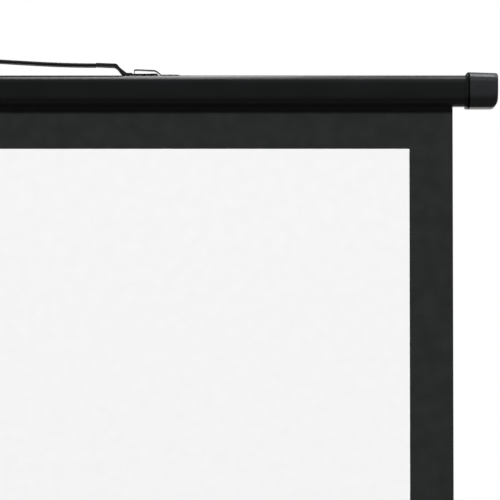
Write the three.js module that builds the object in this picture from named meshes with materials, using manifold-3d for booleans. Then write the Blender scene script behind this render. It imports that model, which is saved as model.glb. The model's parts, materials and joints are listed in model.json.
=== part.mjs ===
// A tripod projector screen: a roller case on a telescopic mast that stands on three folding legs.
// Millimetres, +Z up, the screen faces -Y, and the floor is at Z = 0.
import * as THREE from "three";
import { mergeVertices } from "three/addons/utils/BufferGeometryUtils.js";
import Module from "manifold-3d";

// Fits shared by all pieces
const seatGap = 0.3; // between pieces that touch
const overrun = 2; // how far a cutting shape runs past what it cuts
const mergeDistance = 0.001;
const roundSides = 20;
const smallSides = 12;
const cornerSteps = 4;
const wireSteps = 40;

// Screen cloth
const pictureWidth = 1016;
const pictureHeight = 762;
const borderWidth = 50;
const clothThickness = 0.4;
const pictureCentreHeight = 1450; // above the floor, with the mast fully up

// Case: an extrusion with a slot in its underside
const caseHeight = 35.2;
const caseDepth = 36;
const caseCorner = 9.5;
const caseWall = 1.5;
const slotLipGap = 2.2; // from the cloth to the front lip
const slotWidth = 7;
const lipBeadRadius = 1.2;
const clothToCapMouth = 14.5;

// End caps
const capLength = 37.8;
const capRise = 3; // how far a cap stands proud of the case
const capLift = 0.6; // its middle above the case's
const capGrip = 22; // length of case inside a cap
const capWall = 4;
const capEdgeRound = 7;
const capCorner = 12;

// Roller in the case
const rollerRadius = 9.5;
const rollerWall = 1;
const spareTurnsThickness = 0.8; // cloth that stays on the roller
const rollerPastCloth = 14;
const plugLength = 20;
const rollerPinRadius = 3;
const bracketThickness = 3;
const bracketBossRadius = 6;
const bracketBossLength = 5;
const flangeRadius = 12.5;
const flangeThickness = 2;
const ratchetRadius = 5.5;
const ratchetThickness = 4;
const ratchetStep = 1.2;
const pawlThickness = 3;
const pawlClearance = 0.5;
const pawlPivotRadius = 1.2;
const pawlWidth = 3.4;
const springShaftLength = 400;
const springRadius = 6.6;
const springWire = 1.6;
const anchorThickness = 6;

// Carrying handle
const gripHalfLength = 146.3;
const gripThickness = 3.6;
const gripWidth = 20;
const gripChannelWidth = 13;
const stripCoreThickness = 1;
const stripEndThickness = 3.5;
const stripWidth = 18;
const handleMiddleRise = 18.4; // centre line above the case's top at the middle
const handleEndRise = 12.5; // and at the grip's end
const handleBowPower = 1.35; // how flat the bow's middle is
const handleShoulderX = 170;
const handleFlatX = 180.6; // where a strap's end lies down on the case
const tongueThickness = 2.3;
const tongueWidth = 8;
const tongueEndX = 215;
const tongueHeadLength = 8;
const tongueHeadWidth = 13;
const tongueToKeeper = 1.5; // from a strap's broad end to the keeper

// Keepers: bent sheet bridges that hold the handle's tongues
const keeperSheet = 1;
const keeperWidth = 12;
const keeperInnerX = 190.3;
const keeperBridgeEndX = 212.2;
const keeperSlopeEndX = 220.3;
const keeperOuterX = 243.4;
const keeperRise = 7.6;
const keeperLegWidth = 1.5;
const keeperRivetHeight = 0.5;

// Bottom bar
const barHeight = 22;
const barDepth = 14;
const barCorner = 5;
const barPastCloth = 10;
const barCapThickness = 3;
const hemRodRadius = 2;
const hemDepth = 7; // from the bar's top to the hem rod's centre
const barSlotWidth = 1.6;
const barChamberHeight = 8;
const barChamberWidth = 8;
const barChamberCorner = 1.3;

// Wire bail under the bar
const bailWireRadius = 2;
const bailLength = 60;
const bailHalfWidth = 38;
const bailFootHalfWidth = 26;
const bailBend = 7;
const bailEarSpan = 64;
const bailEarThickness = 2.5;
const bailEarDrop = 8; // from the bar's underside to the bail's axis
const bailEarRadius = 5;
const bailPlateThickness = 2;

// Mast
const mastToCloth = 60;
const lowerTubeRadius = 12.5;
const tubeWall = 1.2;
const tubeGap = 0.8; // from one tube's inside to the next tube's outside
const tubeFloorGap = 24;
const tubeOverlap = 110; // length of an inner tube that stays in the outer one
const bushLength = 14;
const plugFlange = 6;
const mastStopGap = 5;

// Clamps on the mast
const clampGrip = 26; // length round the outer tube
const clampHood = 16; // length above the outer tube's end
const clampWall = 5.5;
const clampHoodWall = 4.5;
const bossRadius = 7.5;
const bossReach = 10; // past the clamp's wall
const screwRadius = 3;
const knobRadius = 14;
const knobThickness = 9;
const knobBevel = 1.5;
const knobNeckRadius = 7;
const knobNeck = 4;
const knobLobes = 5;
const knobLobeShare = 0.09; // of the knob's radius

// Hook for the bail, on the lower clamp
const hookWidth = 9;
const hookThickness = 3;
const hookGap = 8;
const hookDepth = 11;
const hookBailGap = 4; // from the hook's tip to the bail when it swings over it

// Case pivot
const plateLength = 84;
const plateHeight = 26;
const plateThickness = 3;
const plateCorner = 6;
const rivetRadius = 3.5;
const rivetHeight = 1.4;
const studRadius = 4;
const washerRadius = 17;
const washerThickness = 2;
const discRadius = 20;
const discThickness = 8;
const socketWall = 6;
const socketLength = 46;
const socketDrop = 22; // from the pivot to the socket's top
const lockKnobRadius = 16;
const lockKnobThickness = 13;
const lockKnobSkin = 4; // past the stud's end
const lockKnobLobes = 6;
const bracketWebWidth = 22;

// Tripod
const legAngle = 42; // degrees from the mast, open
const foldedAngle = 2.5; // degrees from the mast, folded
const legLength = 620;
const legHingeRadius = 34;
const legWidth = 18;
const legDepth = 14;
const legWall = 1.6;
const legTopEnd = 8; // past the hinge pin
const legBackToPin = 8;
const legPinRadius = 2.5;
const pinHeadRadius = 4.2;
const pinHeadHeight = 1.6;
const hubRadius = 21;
const hubUp = 15;
const hubDown = 17;
const hubChamfer = 3;
const lugRadius = 5.6;
const lugRoot = 13; // half height of a lug at the hub
const legSideGap = 0.6; // from a lug to the leg's inside
const collarFoldedHeight = 52; // brace collar's centre above the floor line, folded
const collarHeight = 28;
const collarWall = 6;
const braceWidth = 11;
const braceThickness = 3;
const earThickness = 3;
const earRadius = 7;
const earGap = 0.5;
const footLength = 46;
const footWall = 4;
const footSole = 9; // past the leg's end, along the leg
const knobAzimuth = 30; // degrees from +X, between two legs

// Derived sizes
const degree = Math.PI / 180;
const clothWidth = pictureWidth + 2 * borderWidth;
const clothHeight = pictureHeight + 2 * borderWidth;
const rollRadius = rollerRadius + seatGap + spareTurnsThickness;
const clothToAxis = rollRadius + seatGap + clothThickness / 2;
const slotZ = pictureCentreHeight + clothHeight / 2;
const caseZ = slotZ + caseHeight / 2;
const barTopZ = pictureCentreHeight - clothHeight / 2;
const barBottomZ = barTopZ - barHeight;
const bailAxisZ = barBottomZ - bailEarDrop;
const capMouthX = clothWidth / 2 + clothToCapMouth;
const capEndX = capMouthX + capLength;
const caseEndX = capMouthX + capGrip;
const clothY = -mastToCloth;
const caseY = clothY + clothToAxis;
const caseBackY = caseY + caseDepth / 2;
const slotBackY = slotWidth - clothToAxis - slotLipGap + lipBeadRadius;
const bracketOuterX = caseEndX - seatGap;
const bracketInnerX = bracketOuterX - bracketThickness;
const bossEndX = bracketInnerX - bracketBossLength;
const rollerEndX = clothWidth / 2 + rollerPastCloth;
const flangeStartX = rollerEndX + seatGap;
const ratchetStartX = flangeStartX + flangeThickness + seatGap;
const pawlPivotZ = flangeRadius - pawlWidth / 2;
const barHalfLength = clothWidth / 2 + barPastCloth;
const barChamberZ = (barDepth - barChamberWidth) / 2 - barHeight + barChamberHeight / 2;
const discStart = plateThickness + washerThickness + 2 * seatGap;
const discEnd = discStart + discThickness;
const studLength = discEnd + seatGap + lockKnobThickness - lockKnobSkin;
const midTubeRadius = lowerTubeRadius - tubeWall - tubeGap;
const topTubeRadius = midTubeRadius - tubeWall - tubeGap;
const clampFrontY = -(lowerTubeRadius + clampWall);
const bailHookY = clampFrontY - hookGap / 2;
const bailBackAngle = Math.asin((bailHookY - clothY) / bailLength);
const bailHookZ = bailAxisZ - bailLength * Math.cos(bailBackAngle);
const hookTipZ = bailHookZ - bailWireRadius - hookBailGap;
const lowerClampZ = hookTipZ - clampHood + hookThickness; // where the lower tube ends
const socketTopZ = caseZ - socketDrop;
const socketBottomZ = socketTopZ - socketLength;
const mastTravel = (socketBottomZ - lowerClampZ - 2 * clampHood - clampGrip - 2 * mastStopGap) / 2;
const upperClampZ = lowerClampZ + clampHood + mastStopGap + mastTravel + clampGrip;
const hingeZ = legLength * Math.cos(legAngle * degree);
const braceLength = (hingeZ - collarFoldedHeight) / (2 * Math.cos(foldedAngle * degree));
const collarZ = hingeZ - 2 * braceLength * Math.cos(legAngle * degree);
const legInside = legWidth - 2 * legWall;
const legAzimuths = { back: 90, right: -30, left: 210 };

// Finishes
function finish(color, roughness, metalness) {
  return new THREE.MeshStandardMaterial({ color, roughness, metalness, flatShading: true });
}
const blackPaint = finish(0x17181a, 0.45, 0.1);
const blackTube = finish(0x1c1d1f, 0.38, 0.35);
const blackPlastic = finish(0x1b1b1c, 0.6, 0);
const blackRubber = finish(0x141414, 0.85, 0);
const blackSheet = finish(0x202124, 0.5, 0.4);
const zincSteel = finish(0xb4b7ba, 0.35, 0.9);
const rawAluminium = finish(0xb9bcbf, 0.4, 0.9);
const springSteel = finish(0x6f7276, 0.4, 0.9);
const whiteCloth = finish(0xf4f4f2, 0.95, 0);
const borderBlack = finish(0x1d1e20, 0.9, 0);

// Booleans
const wasm = await Module();
wasm.setup();

function solid(geometry) {
  const bare = geometry.index ? geometry.toNonIndexed() : geometry.clone();
  bare.deleteAttribute("normal");
  bare.deleteAttribute("uv");
  const merged = mergeVertices(bare, mergeDistance);
  const mesh = new wasm.Mesh({
    numProp: 3,
    vertProperties: merged.attributes.position.array,
    triVerts: new Uint32Array(merged.index.array),
  });
  return new wasm.Manifold(mesh);
}

function surface(manifold) {
  const mesh = manifold.getMesh();
  const geometry = new THREE.BufferGeometry();
  geometry.setAttribute("position", new THREE.BufferAttribute(mesh.vertProperties, 3));
  geometry.setIndex(new THREE.BufferAttribute(mesh.triVerts, 1));
  return geometry;
}

function join(...geometries) {
  return surface(geometries.map(solid).reduce((a, b) => a.add(b)));
}

function cut(base, ...tools) {
  return surface(tools.map(solid).reduce((a, b) => a.subtract(b), solid(base)));
}

// Forms. A prism's shape is drawn in the two axes that its name leaves out, in the order X, Y, Z.
function prism(shape, from, to, alongX, alongY, alongZ) {
  const options = { depth: to - from, bevelEnabled: false, curveSegments: cornerSteps };
  const geometry = new THREE.ExtrudeGeometry(shape, options);
  geometry.translate(0, 0, from);
  return geometry.applyMatrix4(new THREE.Matrix4().makeBasis(alongX, alongY, alongZ));
}
const xAxis = new THREE.Vector3(1, 0, 0);
const yAxis = new THREE.Vector3(0, 1, 0);
const zAxis = new THREE.Vector3(0, 0, 1);
const prismX = (shape, from, to) => prism(shape, from, to, yAxis, zAxis, xAxis);
const prismY = (shape, from, to) => prism(shape, -to, -from, xAxis, zAxis, yAxis.clone().negate());
const prismZ = (shape, from, to) => prism(shape, from, to, xAxis, yAxis, zAxis);

function block(x0, x1, y0, y1, z0, z1) {
  const geometry = new THREE.BoxGeometry(x1 - x0, y1 - y0, z1 - z0);
  return geometry.translate((x0 + x1) / 2, (y0 + y1) / 2, (z0 + z1) / 2);
}

// A solid of revolution about Z from (radius, height) points, given anticlockwise
function turned(points, sides = roundSides) {
  const closed = [...points, points[0]].map(([radius, height]) => new THREE.Vector2(radius, height));
  return new THREE.LatheGeometry(closed, sides).rotateX(Math.PI / 2);
}

function rod(radius, from, to, sides = roundSides) {
  const geometry = new THREE.CylinderGeometry(radius, radius, to - from, sides);
  return geometry.rotateX(Math.PI / 2).translate(0, 0, (from + to) / 2);
}
const rodX = (radius, from, to, sides) => rod(radius, from, to, sides).rotateY(Math.PI / 2);
const rodY = (radius, from, to, sides) => rod(radius, -to, -from, sides).rotateX(Math.PI / 2);

function sleeve(inner, outer, from, to, sides) {
  return turned(
    [
      [inner, from],
      [outer, from],
      [outer, to],
      [inner, to],
    ],
    sides,
  );
}

function roundedRectangle(width, height, radius) {
  const w = width / 2 - radius;
  const h = height / 2 - radius;
  const shape = new THREE.Shape();
  shape.moveTo(w + radius, -h);
  shape.absarc(w, h, radius, 0, Math.PI / 2);
  shape.absarc(-w, h, radius, Math.PI / 2, Math.PI);
  shape.absarc(-w, -h, radius, Math.PI, 1.5 * Math.PI);
  shape.absarc(w, -h, radius, 1.5 * Math.PI, 2 * Math.PI);
  return shape;
}

function polygon(...points) {
  return new THREE.Shape(points.map(([x, y]) => new THREE.Vector2(x, y)));
}

// A closed skin through rings of points, capped at both ends
function loft(rings) {
  const count = rings[0].length;
  const positions = rings.flat().flatMap((p) => [p.x, p.y, p.z]);
  const faces = [];
  for (let ring = 0; ring + 1 < rings.length; ring++)
    for (let i = 0; i < count; i++) {
      const a = ring * count + i;
      const b = ring * count + ((i + 1) % count);
      faces.push(a, b, b + count, a, b + count, a + count);
    }
  const last = (rings.length - 1) * count;
  for (let i = 1; i + 1 < count; i++) {
    faces.push(0, i + 1, i);
    faces.push(last, last + i, last + i + 1);
  }
  const geometry = new THREE.BufferGeometry();
  geometry.setAttribute("position", new THREE.Float32BufferAttribute(positions, 3));
  geometry.setIndex(faces);
  return geometry;
}

function piece(parent, name, geometry, material) {
  const mesh = new THREE.Mesh(geometry, material);
  mesh.name = name;
  parent.add(mesh);
  return mesh;
}

function group(parent, x, y, z) {
  const made = new THREE.Group();
  made.position.set(x, y, z);
  parent.add(made);
  return made;
}

// Case and what is fixed in it. The origin is the roller's axis at mid-length.
function lipAngle() {
  const reach = clothToAxis + slotLipGap - (caseDepth / 2 - caseCorner);
  return Math.PI + Math.acos(Math.min(reach / caseCorner, 1));
}

function caseShell() {
  const w = caseDepth / 2 - caseCorner;
  const h = caseHeight / 2 - caseCorner;
  const inner = caseCorner - caseWall;
  const lip = lipAngle();
  const bottom = -caseHeight / 2;
  const shape = new THREE.Shape();
  shape.absarc(-w, -h, caseCorner, lip, Math.PI, true);
  shape.absarc(-w, h, caseCorner, Math.PI, Math.PI / 2, true);
  shape.absarc(w, h, caseCorner, Math.PI / 2, 0, true);
  shape.absarc(w, -h, caseCorner, 0, -Math.PI / 2, true);
  shape.lineTo(slotBackY, bottom);
  shape.lineTo(slotBackY, bottom + caseWall);
  shape.absarc(w, -h, inner, -Math.PI / 2, 0);
  shape.absarc(w, h, inner, 0, Math.PI / 2);
  shape.absarc(-w, h, inner, Math.PI / 2, Math.PI);
  shape.absarc(-w, -h, inner, Math.PI, lip);
  return join(prismX(shape, -caseEndX, caseEndX), ...slotBeads(lipBeadRadius, -caseEndX, caseEndX));
}

// The rolled edges along both sides of the slot
function slotBeads(radius, from, to) {
  const lip = lipAngle();
  const wallMiddle = caseCorner - caseWall / 2;
  const frontY = wallMiddle * Math.cos(lip) - (caseDepth / 2 - caseCorner);
  const frontZ = wallMiddle * Math.sin(lip) - (caseHeight / 2 - caseCorner);
  const front = rodX(radius, from, to, smallSides).translate(0, frontY, frontZ);
  const back = rodX(radius, from, to, smallSides).translate(0, slotBackY, lipBeadRadius - caseHeight / 2);
  return [front, back];
}

function capRing(x, inset) {
  const width = caseDepth + 2 * (capRise - inset);
  const height = caseHeight + 2 * (capRise - inset);
  const outline = roundedRectangle(width, height, capCorner - inset);
  return outline.getPoints(cornerSteps).map((p) => new THREE.Vector3(x, p.x, p.y + capLift));
}

function endCap() {
  const flat = capEndX - capEdgeRound;
  const rings = [capRing(capMouthX, 0), capRing(flat, 0)];
  for (let step = 1; step <= cornerSteps; step++) {
    const turn = (step / cornerSteps) * (Math.PI / 2);
    rings.push(capRing(flat + capEdgeRound * Math.sin(turn), capEdgeRound * (1 - Math.cos(turn))));
  }
  const fit = roundedRectangle(caseDepth + 2 * seatGap, caseHeight + 2 * seatGap, caseCorner + seatGap);
  const hollow = roundedRectangle(caseDepth - 2 * caseWall, caseHeight - 2 * caseWall, caseCorner - caseWall);
  const pocket = prismX(fit, capMouthX - overrun, caseEndX + seatGap);
  const core = prismX(hollow, caseEndX, capEndX - capWall);
  const beadRoom = slotBeads(lipBeadRadius + seatGap, capMouthX - overrun, caseEndX + seatGap);
  return cut(loft(rings), pocket, core, ...beadRoom);
}

// A plate in the case's end, with a boss for the roller's pin
function rollerBracket() {
  const width = caseDepth - 2 * (caseWall + seatGap);
  const height = caseHeight - 2 * (caseWall + seatGap);
  const plate = prismX(roundedRectangle(width, height, caseCorner - caseWall), bracketInnerX, bracketOuterX);
  const lipRoom = -height / 2 + lipBeadRadius + 2 * seatGap;
  const relief = block(0, caseEndX, -caseDepth, caseDepth, -caseHeight, lipRoom);
  const boss = rodX(bracketBossRadius, bossEndX, bracketOuterX);
  const bore = rodX(rollerPinRadius + seatGap, bossEndX - overrun, capEndX, smallSides);
  return cut(join(plate, boss), bore, relief);
}

function springShaft() {
  const inner = rollerEndX - springShaftLength;
  const anchor = rodX(rollerRadius - rollerWall - seatGap, inner, inner + anchorThickness);
  const shaft = rodX(rollerPinRadius, inner, bracketOuterX, smallSides);
  return join(anchor, shaft);
}

// A wheel with two steps that the pawl can catch, half a turn apart
function ratchetWheel() {
  const shape = new THREE.Shape();
  shape.absarc(0, 0, ratchetRadius, -Math.PI / 2, Math.PI / 2);
  shape.absarc(0, 0, ratchetRadius - ratchetStep, Math.PI / 2, 1.5 * Math.PI);
  const bore = rodX(rollerPinRadius + seatGap, ratchetStartX - overrun, bossEndX + overrun, smallSides);
  return cut(prismX(shape, ratchetStartX, ratchetStartX + ratchetThickness), bore);
}

// Pivot plate with its stud. Y = 0 is the plate's face on the case.
function pivotPlate() {
  const outline = roundedRectangle(plateLength, plateHeight, plateCorner);
  const parts = [prismY(outline, 0, plateThickness)];
  for (const sideX of [-1, 1])
    for (const sideZ of [-1, 1]) {
      const rivet = rodY(rivetRadius, 0, plateThickness + rivetHeight, smallSides);
      parts.push(rivet.translate((sideX * plateLength) / 3, 0, (sideZ * plateHeight) / 4));
    }
  parts.push(rodY(studRadius, 0, studLength, smallSides));
  return join(...parts);
}

// Handle. The origin is on the case's top at mid-length.
function handleCentreline(x) {
  const share = Math.min(Math.abs(x) / gripHalfLength, 1);
  const fall = Math.sin((share * Math.PI) / 2) ** handleBowPower;
  return handleMiddleRise - (handleMiddleRise - handleEndRise) * fall;
}

function handleBand(halfThickness, steps, halfLength) {
  const upper = [];
  const lower = [];
  for (let step = -steps; step <= steps; step++) {
    const x = (step / steps) * halfLength;
    upper.push([x, handleCentreline(x) + halfThickness]);
    lower.unshift([x, handleCentreline(x) - halfThickness]);
  }
  return [...upper, ...lower];
}

function handleGrip() {
  const outline = polygon(...handleBand(gripThickness / 2, 2 * cornerSteps, gripHalfLength));
  const channelHalf = stripCoreThickness / 2 + seatGap;
  const channel = polygon(...handleBand(channelHalf, 2 * cornerSteps, gripHalfLength + overrun));
  const channelY = gripChannelWidth / 2 + seatGap;
  return cut(prismY(outline, -gripWidth / 2, gripWidth / 2), prismY(channel, -channelY, channelY));
}

// A length of tongue, from startX out to the tongue's end
function tongueBlock(side, startX, width) {
  const [x0, x1] = side < 0 ? [-tongueEndX, -startX] : [startX, tongueEndX];
  return block(x0, x1, -width / 2, width / 2, seatGap, seatGap + tongueThickness);
}

// A strap whose core runs through the grip and whose ends bend down, lie flat and go on as narrow tongues
function handleStrip() {
  const coreHalfLength = gripHalfLength + stripEndThickness;
  const core = polygon(...handleBand(stripCoreThickness / 2, 2 * cornerSteps, coreHalfLength));
  const parts = [prismY(core, -gripChannelWidth / 2, gripChannelWidth / 2)];
  const lowZ = seatGap;
  const startX = gripHalfLength + seatGap;
  const half = stripEndThickness / 2;
  const flatZ = lowZ + stripEndThickness;
  const broadEndX = keeperInnerX - tongueToKeeper;
  for (const side of [-1, 1]) {
    const end = polygon(
      [side * startX, handleEndRise - half],
      [side * (handleShoulderX - half), handleEndRise - half],
      [side * (handleFlatX - half), lowZ],
      [side * broadEndX, lowZ],
      [side * broadEndX, flatZ],
      [side * (handleFlatX + half / 2), flatZ],
      [side * (handleShoulderX + half), handleEndRise + half / 2],
      [side * handleShoulderX, handleEndRise + half],
      [side * startX, handleEndRise + half],
    );
    parts.push(prismY(end, -stripWidth / 2, stripWidth / 2));
    parts.push(tongueBlock(side, broadEndX - half, tongueWidth));
    parts.push(tongueBlock(side, tongueEndX - tongueHeadLength, tongueHeadWidth));
  }
  return join(...parts);
}

// A sheet bridge over the tongue, with a side leg down each edge and a rounded foot riveted down
function keeper() {
  const low = seatGap;
  const top = keeperRise;
  const bend = Math.atan2(top - keeperSheet - low, keeperSlopeEndX - keeperBridgeEndX);
  const miter = (keeperSheet * Math.tan(bend / 2)) / 2;
  const sheet = polygon(
    [keeperOuterX, low],
    [keeperOuterX, low + keeperSheet],
    [keeperSlopeEndX + miter, low + keeperSheet],
    [keeperBridgeEndX + miter, top],
    [keeperInnerX, top],
    [keeperInnerX, top - keeperSheet],
    [keeperBridgeEndX - miter, top - keeperSheet],
    [keeperSlopeEndX - miter, low],
  );
  const half = keeperWidth / 2;
  const legs = [-1, 1].map((side) => {
    const outer = side * half;
    const inner = side * (half - keeperLegWidth);
    const [y0, y1] = side < 0 ? [outer, inner] : [inner, outer];
    return block(keeperInnerX, keeperInnerX + keeperSheet, y0, y1, low, top);
  });
  const footRound = new THREE.Shape();
  footRound.moveTo(0, -half);
  footRound.lineTo(keeperOuterX - half, -half);
  footRound.absarc(keeperOuterX - half, 0, half, -Math.PI / 2, Math.PI / 2);
  footRound.lineTo(0, half);
  const round = solid(prismZ(footRound, -overrun, keeperRise + overrun));
  const rivet = rod(rivetRadius, low, low + keeperSheet + keeperRivetHeight, smallSides);
  rivet.translate((keeperSlopeEndX + keeperOuterX) / 2, 0, 0);
  const bent = solid(join(prismY(sheet, -half, half), ...legs));
  return surface(bent.intersect(round).add(solid(rivet)));
}

// The same piece on the other side of X = 0, its triangles turned round to face out again
function mirrored(geometry) {
  const flipped = geometry.clone().scale(-1, 1, 1);
  return flipped.setIndex([...flipped.index.array].reverse());
}

// Roller, pawl and cloth
function rollerPlug() {
  const body = rodX(rollerRadius - rollerWall - seatGap, -rollerEndX, plugLength - rollerEndX);
  const pin = rodX(rollerPinRadius, -bracketOuterX, -rollerEndX, smallSides);
  return join(body, pin);
}

function drivePlug() {
  const bodyEndX = flangeStartX + flangeThickness / 2;
  const body = rodX(rollerRadius - rollerWall - seatGap, rollerEndX - plugLength, bodyEndX);
  const flange = rodX(flangeRadius, flangeStartX, flangeStartX + flangeThickness);
  const stub = rodX(pawlPivotRadius, flangeStartX, ratchetStartX + pawlThickness, smallSides);
  stub.translate(0, 0, pawlPivotZ);
  const bore = rodX(rollerPinRadius + seatGap, 0, capEndX, smallSides);
  return cut(join(body, flange, stub), bore);
}

// A lever from its pivot to a tip that lies just over the ratchet wheel
function pawl() {
  const tipY = -(flangeRadius - pawlWidth) * Math.sin(Math.PI / 4);
  const tipZ = (ratchetRadius + pawlClearance + pawlWidth / 4) * Math.cos(Math.PI / 4);
  const half = pawlWidth / 2;
  const shape = new THREE.Shape();
  shape.absarc(0, pawlPivotZ, half, -Math.PI / 4, Math.PI);
  shape.lineTo(tipY - half / 2, tipZ + half);
  shape.lineTo(tipY, tipZ);
  const bore = rodX(pawlPivotRadius + seatGap, 0, capEndX, smallSides).translate(0, 0, pawlPivotZ);
  return cut(prismX(shape, ratchetStartX, ratchetStartX + pawlThickness), bore);
}

// The cloth's black edge, round a window for the picture
function borderCloth(top, bottom) {
  const outline = polygon(
    [-clothWidth / 2, bottom],
    [clothWidth / 2, bottom],
    [clothWidth / 2, top],
    [-clothWidth / 2, top],
  );
  const windowX = pictureWidth / 2 + seatGap;
  const windowZ = pictureHeight / 2 + seatGap;
  const middle = pictureCentreHeight - caseZ;
  outline.holes.push(
    polygon(
      [-windowX, middle - windowZ],
      [-windowX, middle + windowZ],
      [windowX, middle + windowZ],
      [windowX, middle - windowZ],
    ),
  );
  return prismY(outline, -clothThickness / 2, clothThickness / 2);
}

// Bottom bar. The origin is the middle of its top edge, on the cloth's plane.
function barSection() {
  const groove = block(-capEndX, capEndX, -barSlotWidth / 2, barSlotWidth / 2, -hemDepth, overrun);
  const bore = rodX(hemRodRadius + seatGap, -capEndX, capEndX, smallSides).translate(0, 0, -hemDepth);
  const chamber = roundedRectangle(barChamberWidth, barChamberHeight, barChamberCorner);
  const hollow = prismX(chamber, -capEndX, capEndX).translate(0, 0, barChamberZ);
  const outline = roundedRectangle(barDepth, barHeight, barCorner);
  const body = prismX(outline, -barHalfLength, barHalfLength).translate(0, 0, -barHeight / 2);
  return cut(body, groove, bore, hollow);
}

function barCap() {
  const start = barHalfLength + seatGap;
  const outline = roundedRectangle(barDepth, barHeight, barCorner);
  const plate = prismX(outline, start, start + barCapThickness).translate(0, 0, -barHeight / 2);
  const width = barChamberWidth - 2 * seatGap;
  const spigotShape = roundedRectangle(width, barChamberHeight - 2 * seatGap, barChamberCorner - seatGap);
  const spigot = prismX(spigotShape, start - barChamberWidth, start + barCapThickness / 2);
  return join(plate, spigot.translate(0, 0, barChamberZ));
}

// Bracket for the bail. The origin is the bail's axis at mid-length.
function bailBracket() {
  const top = bailEarDrop - seatGap;
  const outer = bailEarSpan / 2 + bailEarThickness / 2;
  const plate = block(-outer, outer, -barDepth / 2, barDepth / 2, top - bailPlateThickness, top);
  const ear = new THREE.Shape();
  ear.moveTo(-bailEarRadius, top);
  ear.lineTo(-bailEarRadius, 0);
  ear.absarc(0, 0, bailEarRadius, Math.PI, 2 * Math.PI);
  ear.lineTo(bailEarRadius, top);
  const ears = [-1, 1].map((side) => {
    const x = (side * bailEarSpan) / 2 - bailEarThickness / 2;
    return prismX(ear, x, x + bailEarThickness);
  });
  const bore = rodX(bailWireRadius + seatGap, -capEndX, capEndX, smallSides);
  return cut(join(plate, ...ears), bore);
}

// A bent wire loop whose ends turn into the bracket's ears
function bail() {
  const inner = bailEarSpan / 2 - bailEarThickness - seatGap;
  const corner = (from, at, to, radius) => {
    const start = at.clone().add(from.clone().sub(at).setLength(radius));
    const end = at.clone().add(to.clone().sub(at).setLength(radius));
    return [start, at, end];
  };
  const v = (x, z) => new THREE.Vector3(x, 0, z);
  const stops = [
    v(-inner, 0),
    v(-bailHalfWidth, 0),
    v(-bailFootHalfWidth, -bailLength),
    v(bailFootHalfWidth, -bailLength),
    v(bailHalfWidth, 0),
    v(inner, 0),
  ];
  const radii = [bailBend / 2, bailBend, bailBend, bailBend / 2];
  const path = new THREE.CurvePath();
  let last = stops[0];
  radii.forEach((radius, i) => {
    const [start, at, end] = corner(stops[i], stops[i + 1], stops[i + 2], radius);
    path.add(new THREE.LineCurve3(last, start));
    path.add(new THREE.QuadraticBezierCurve3(start, at, end));
    last = end;
  });
  path.add(new THREE.LineCurve3(last, stops[stops.length - 1]));
  const section = new THREE.Shape();
  section.absarc(0, 0, bailWireRadius, 0, 2 * Math.PI);
  const options = { steps: wireSteps, extrudePath: path, curveSegments: cornerSteps };
  return new THREE.ExtrudeGeometry(section, options);
}

// Mast
function tube(radius, from, to) {
  return sleeve(radius - tubeWall, radius, from, to);
}

// A guide on an inner tube's foot, which slides in the next tube
function bush(radius, bore, at) {
  const profile = [
    [radius - 2 * tubeWall - seatGap, at - bushLength / 2],
    [bore - seatGap, at - bushLength / 2],
    [bore - seatGap, at - seatGap],
    [radius - tubeWall - seatGap, at - seatGap],
    [radius - tubeWall - seatGap, at + bushLength / 2],
    [radius - 2 * tubeWall - seatGap, at + bushLength / 2],
  ];
  return turned(profile);
}

// A clamp over the end of an outer tube, with its origin at the tube's end
function clamp(outer, inner) {
  const wide = outer + clampWall;
  const hood = inner + tubeWall + tubeGap + clampHoodWall;
  const edge = clampWall / 3;
  const profile = [
    [outer + seatGap, -clampGrip],
    [wide - edge, -clampGrip],
    [wide, edge - clampGrip],
    [wide, clampHood - 3 * edge],
    [wide - edge, clampHood - edge],
    [hood - edge, clampHood],
    [inner + seatGap, clampHood],
    [inner + seatGap, seatGap],
    [outer + seatGap, seatGap],
  ];
  const boss = rodX(bossRadius, inner + tubeWall, wide + bossReach, smallSides);
  boss.rotateZ(knobAzimuth * degree).translate(0, 0, clampHood / 2);
  const screwHole = rodX(screwRadius + seatGap, 0, wide + bossReach + overrun, smallSides);
  screwHole.rotateZ(knobAzimuth * degree).translate(0, 0, clampHood / 2);
  const groove = sleeve(wide - edge / 2, wide + overrun, -edge / 2, edge / 2);
  const lower = groove.clone().translate(0, 0, -clampGrip / 2);
  const upper = groove.clone().translate(0, 0, -clampGrip / 4);
  const body = cut(turned(profile), lower, upper);
  const room = rod(inner + seatGap, 0, clampHood + overrun);
  return cut(join(body, cut(boss, room)), screwHole);
}

// The hook's side view in Y and Z: an upturned finger in front of the clamp
function bailHook(clampTop) {
  const back = clampFrontY + clampWall / 2;
  const inside = clampFrontY - hookGap;
  const front = inside - hookThickness;
  const floor = clampTop - hookDepth;
  const shape = new THREE.Shape();
  shape.moveTo(back, floor - 2 * hookThickness);
  shape.lineTo(clampFrontY, floor - 2 * hookThickness);
  shape.quadraticCurveTo(front, floor - hookThickness, front, floor + hookThickness);
  shape.lineTo(front, clampTop - hookThickness / 2);
  shape.lineTo(front + hookThickness / 2, clampTop);
  shape.lineTo(inside, clampTop);
  shape.lineTo(inside, floor + hookGap / 4);
  shape.quadraticCurveTo(inside, floor, inside + hookGap / 2, floor);
  shape.lineTo(back, floor);
  return prismX(shape, -hookWidth / 2, hookWidth / 2);
}

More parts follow.
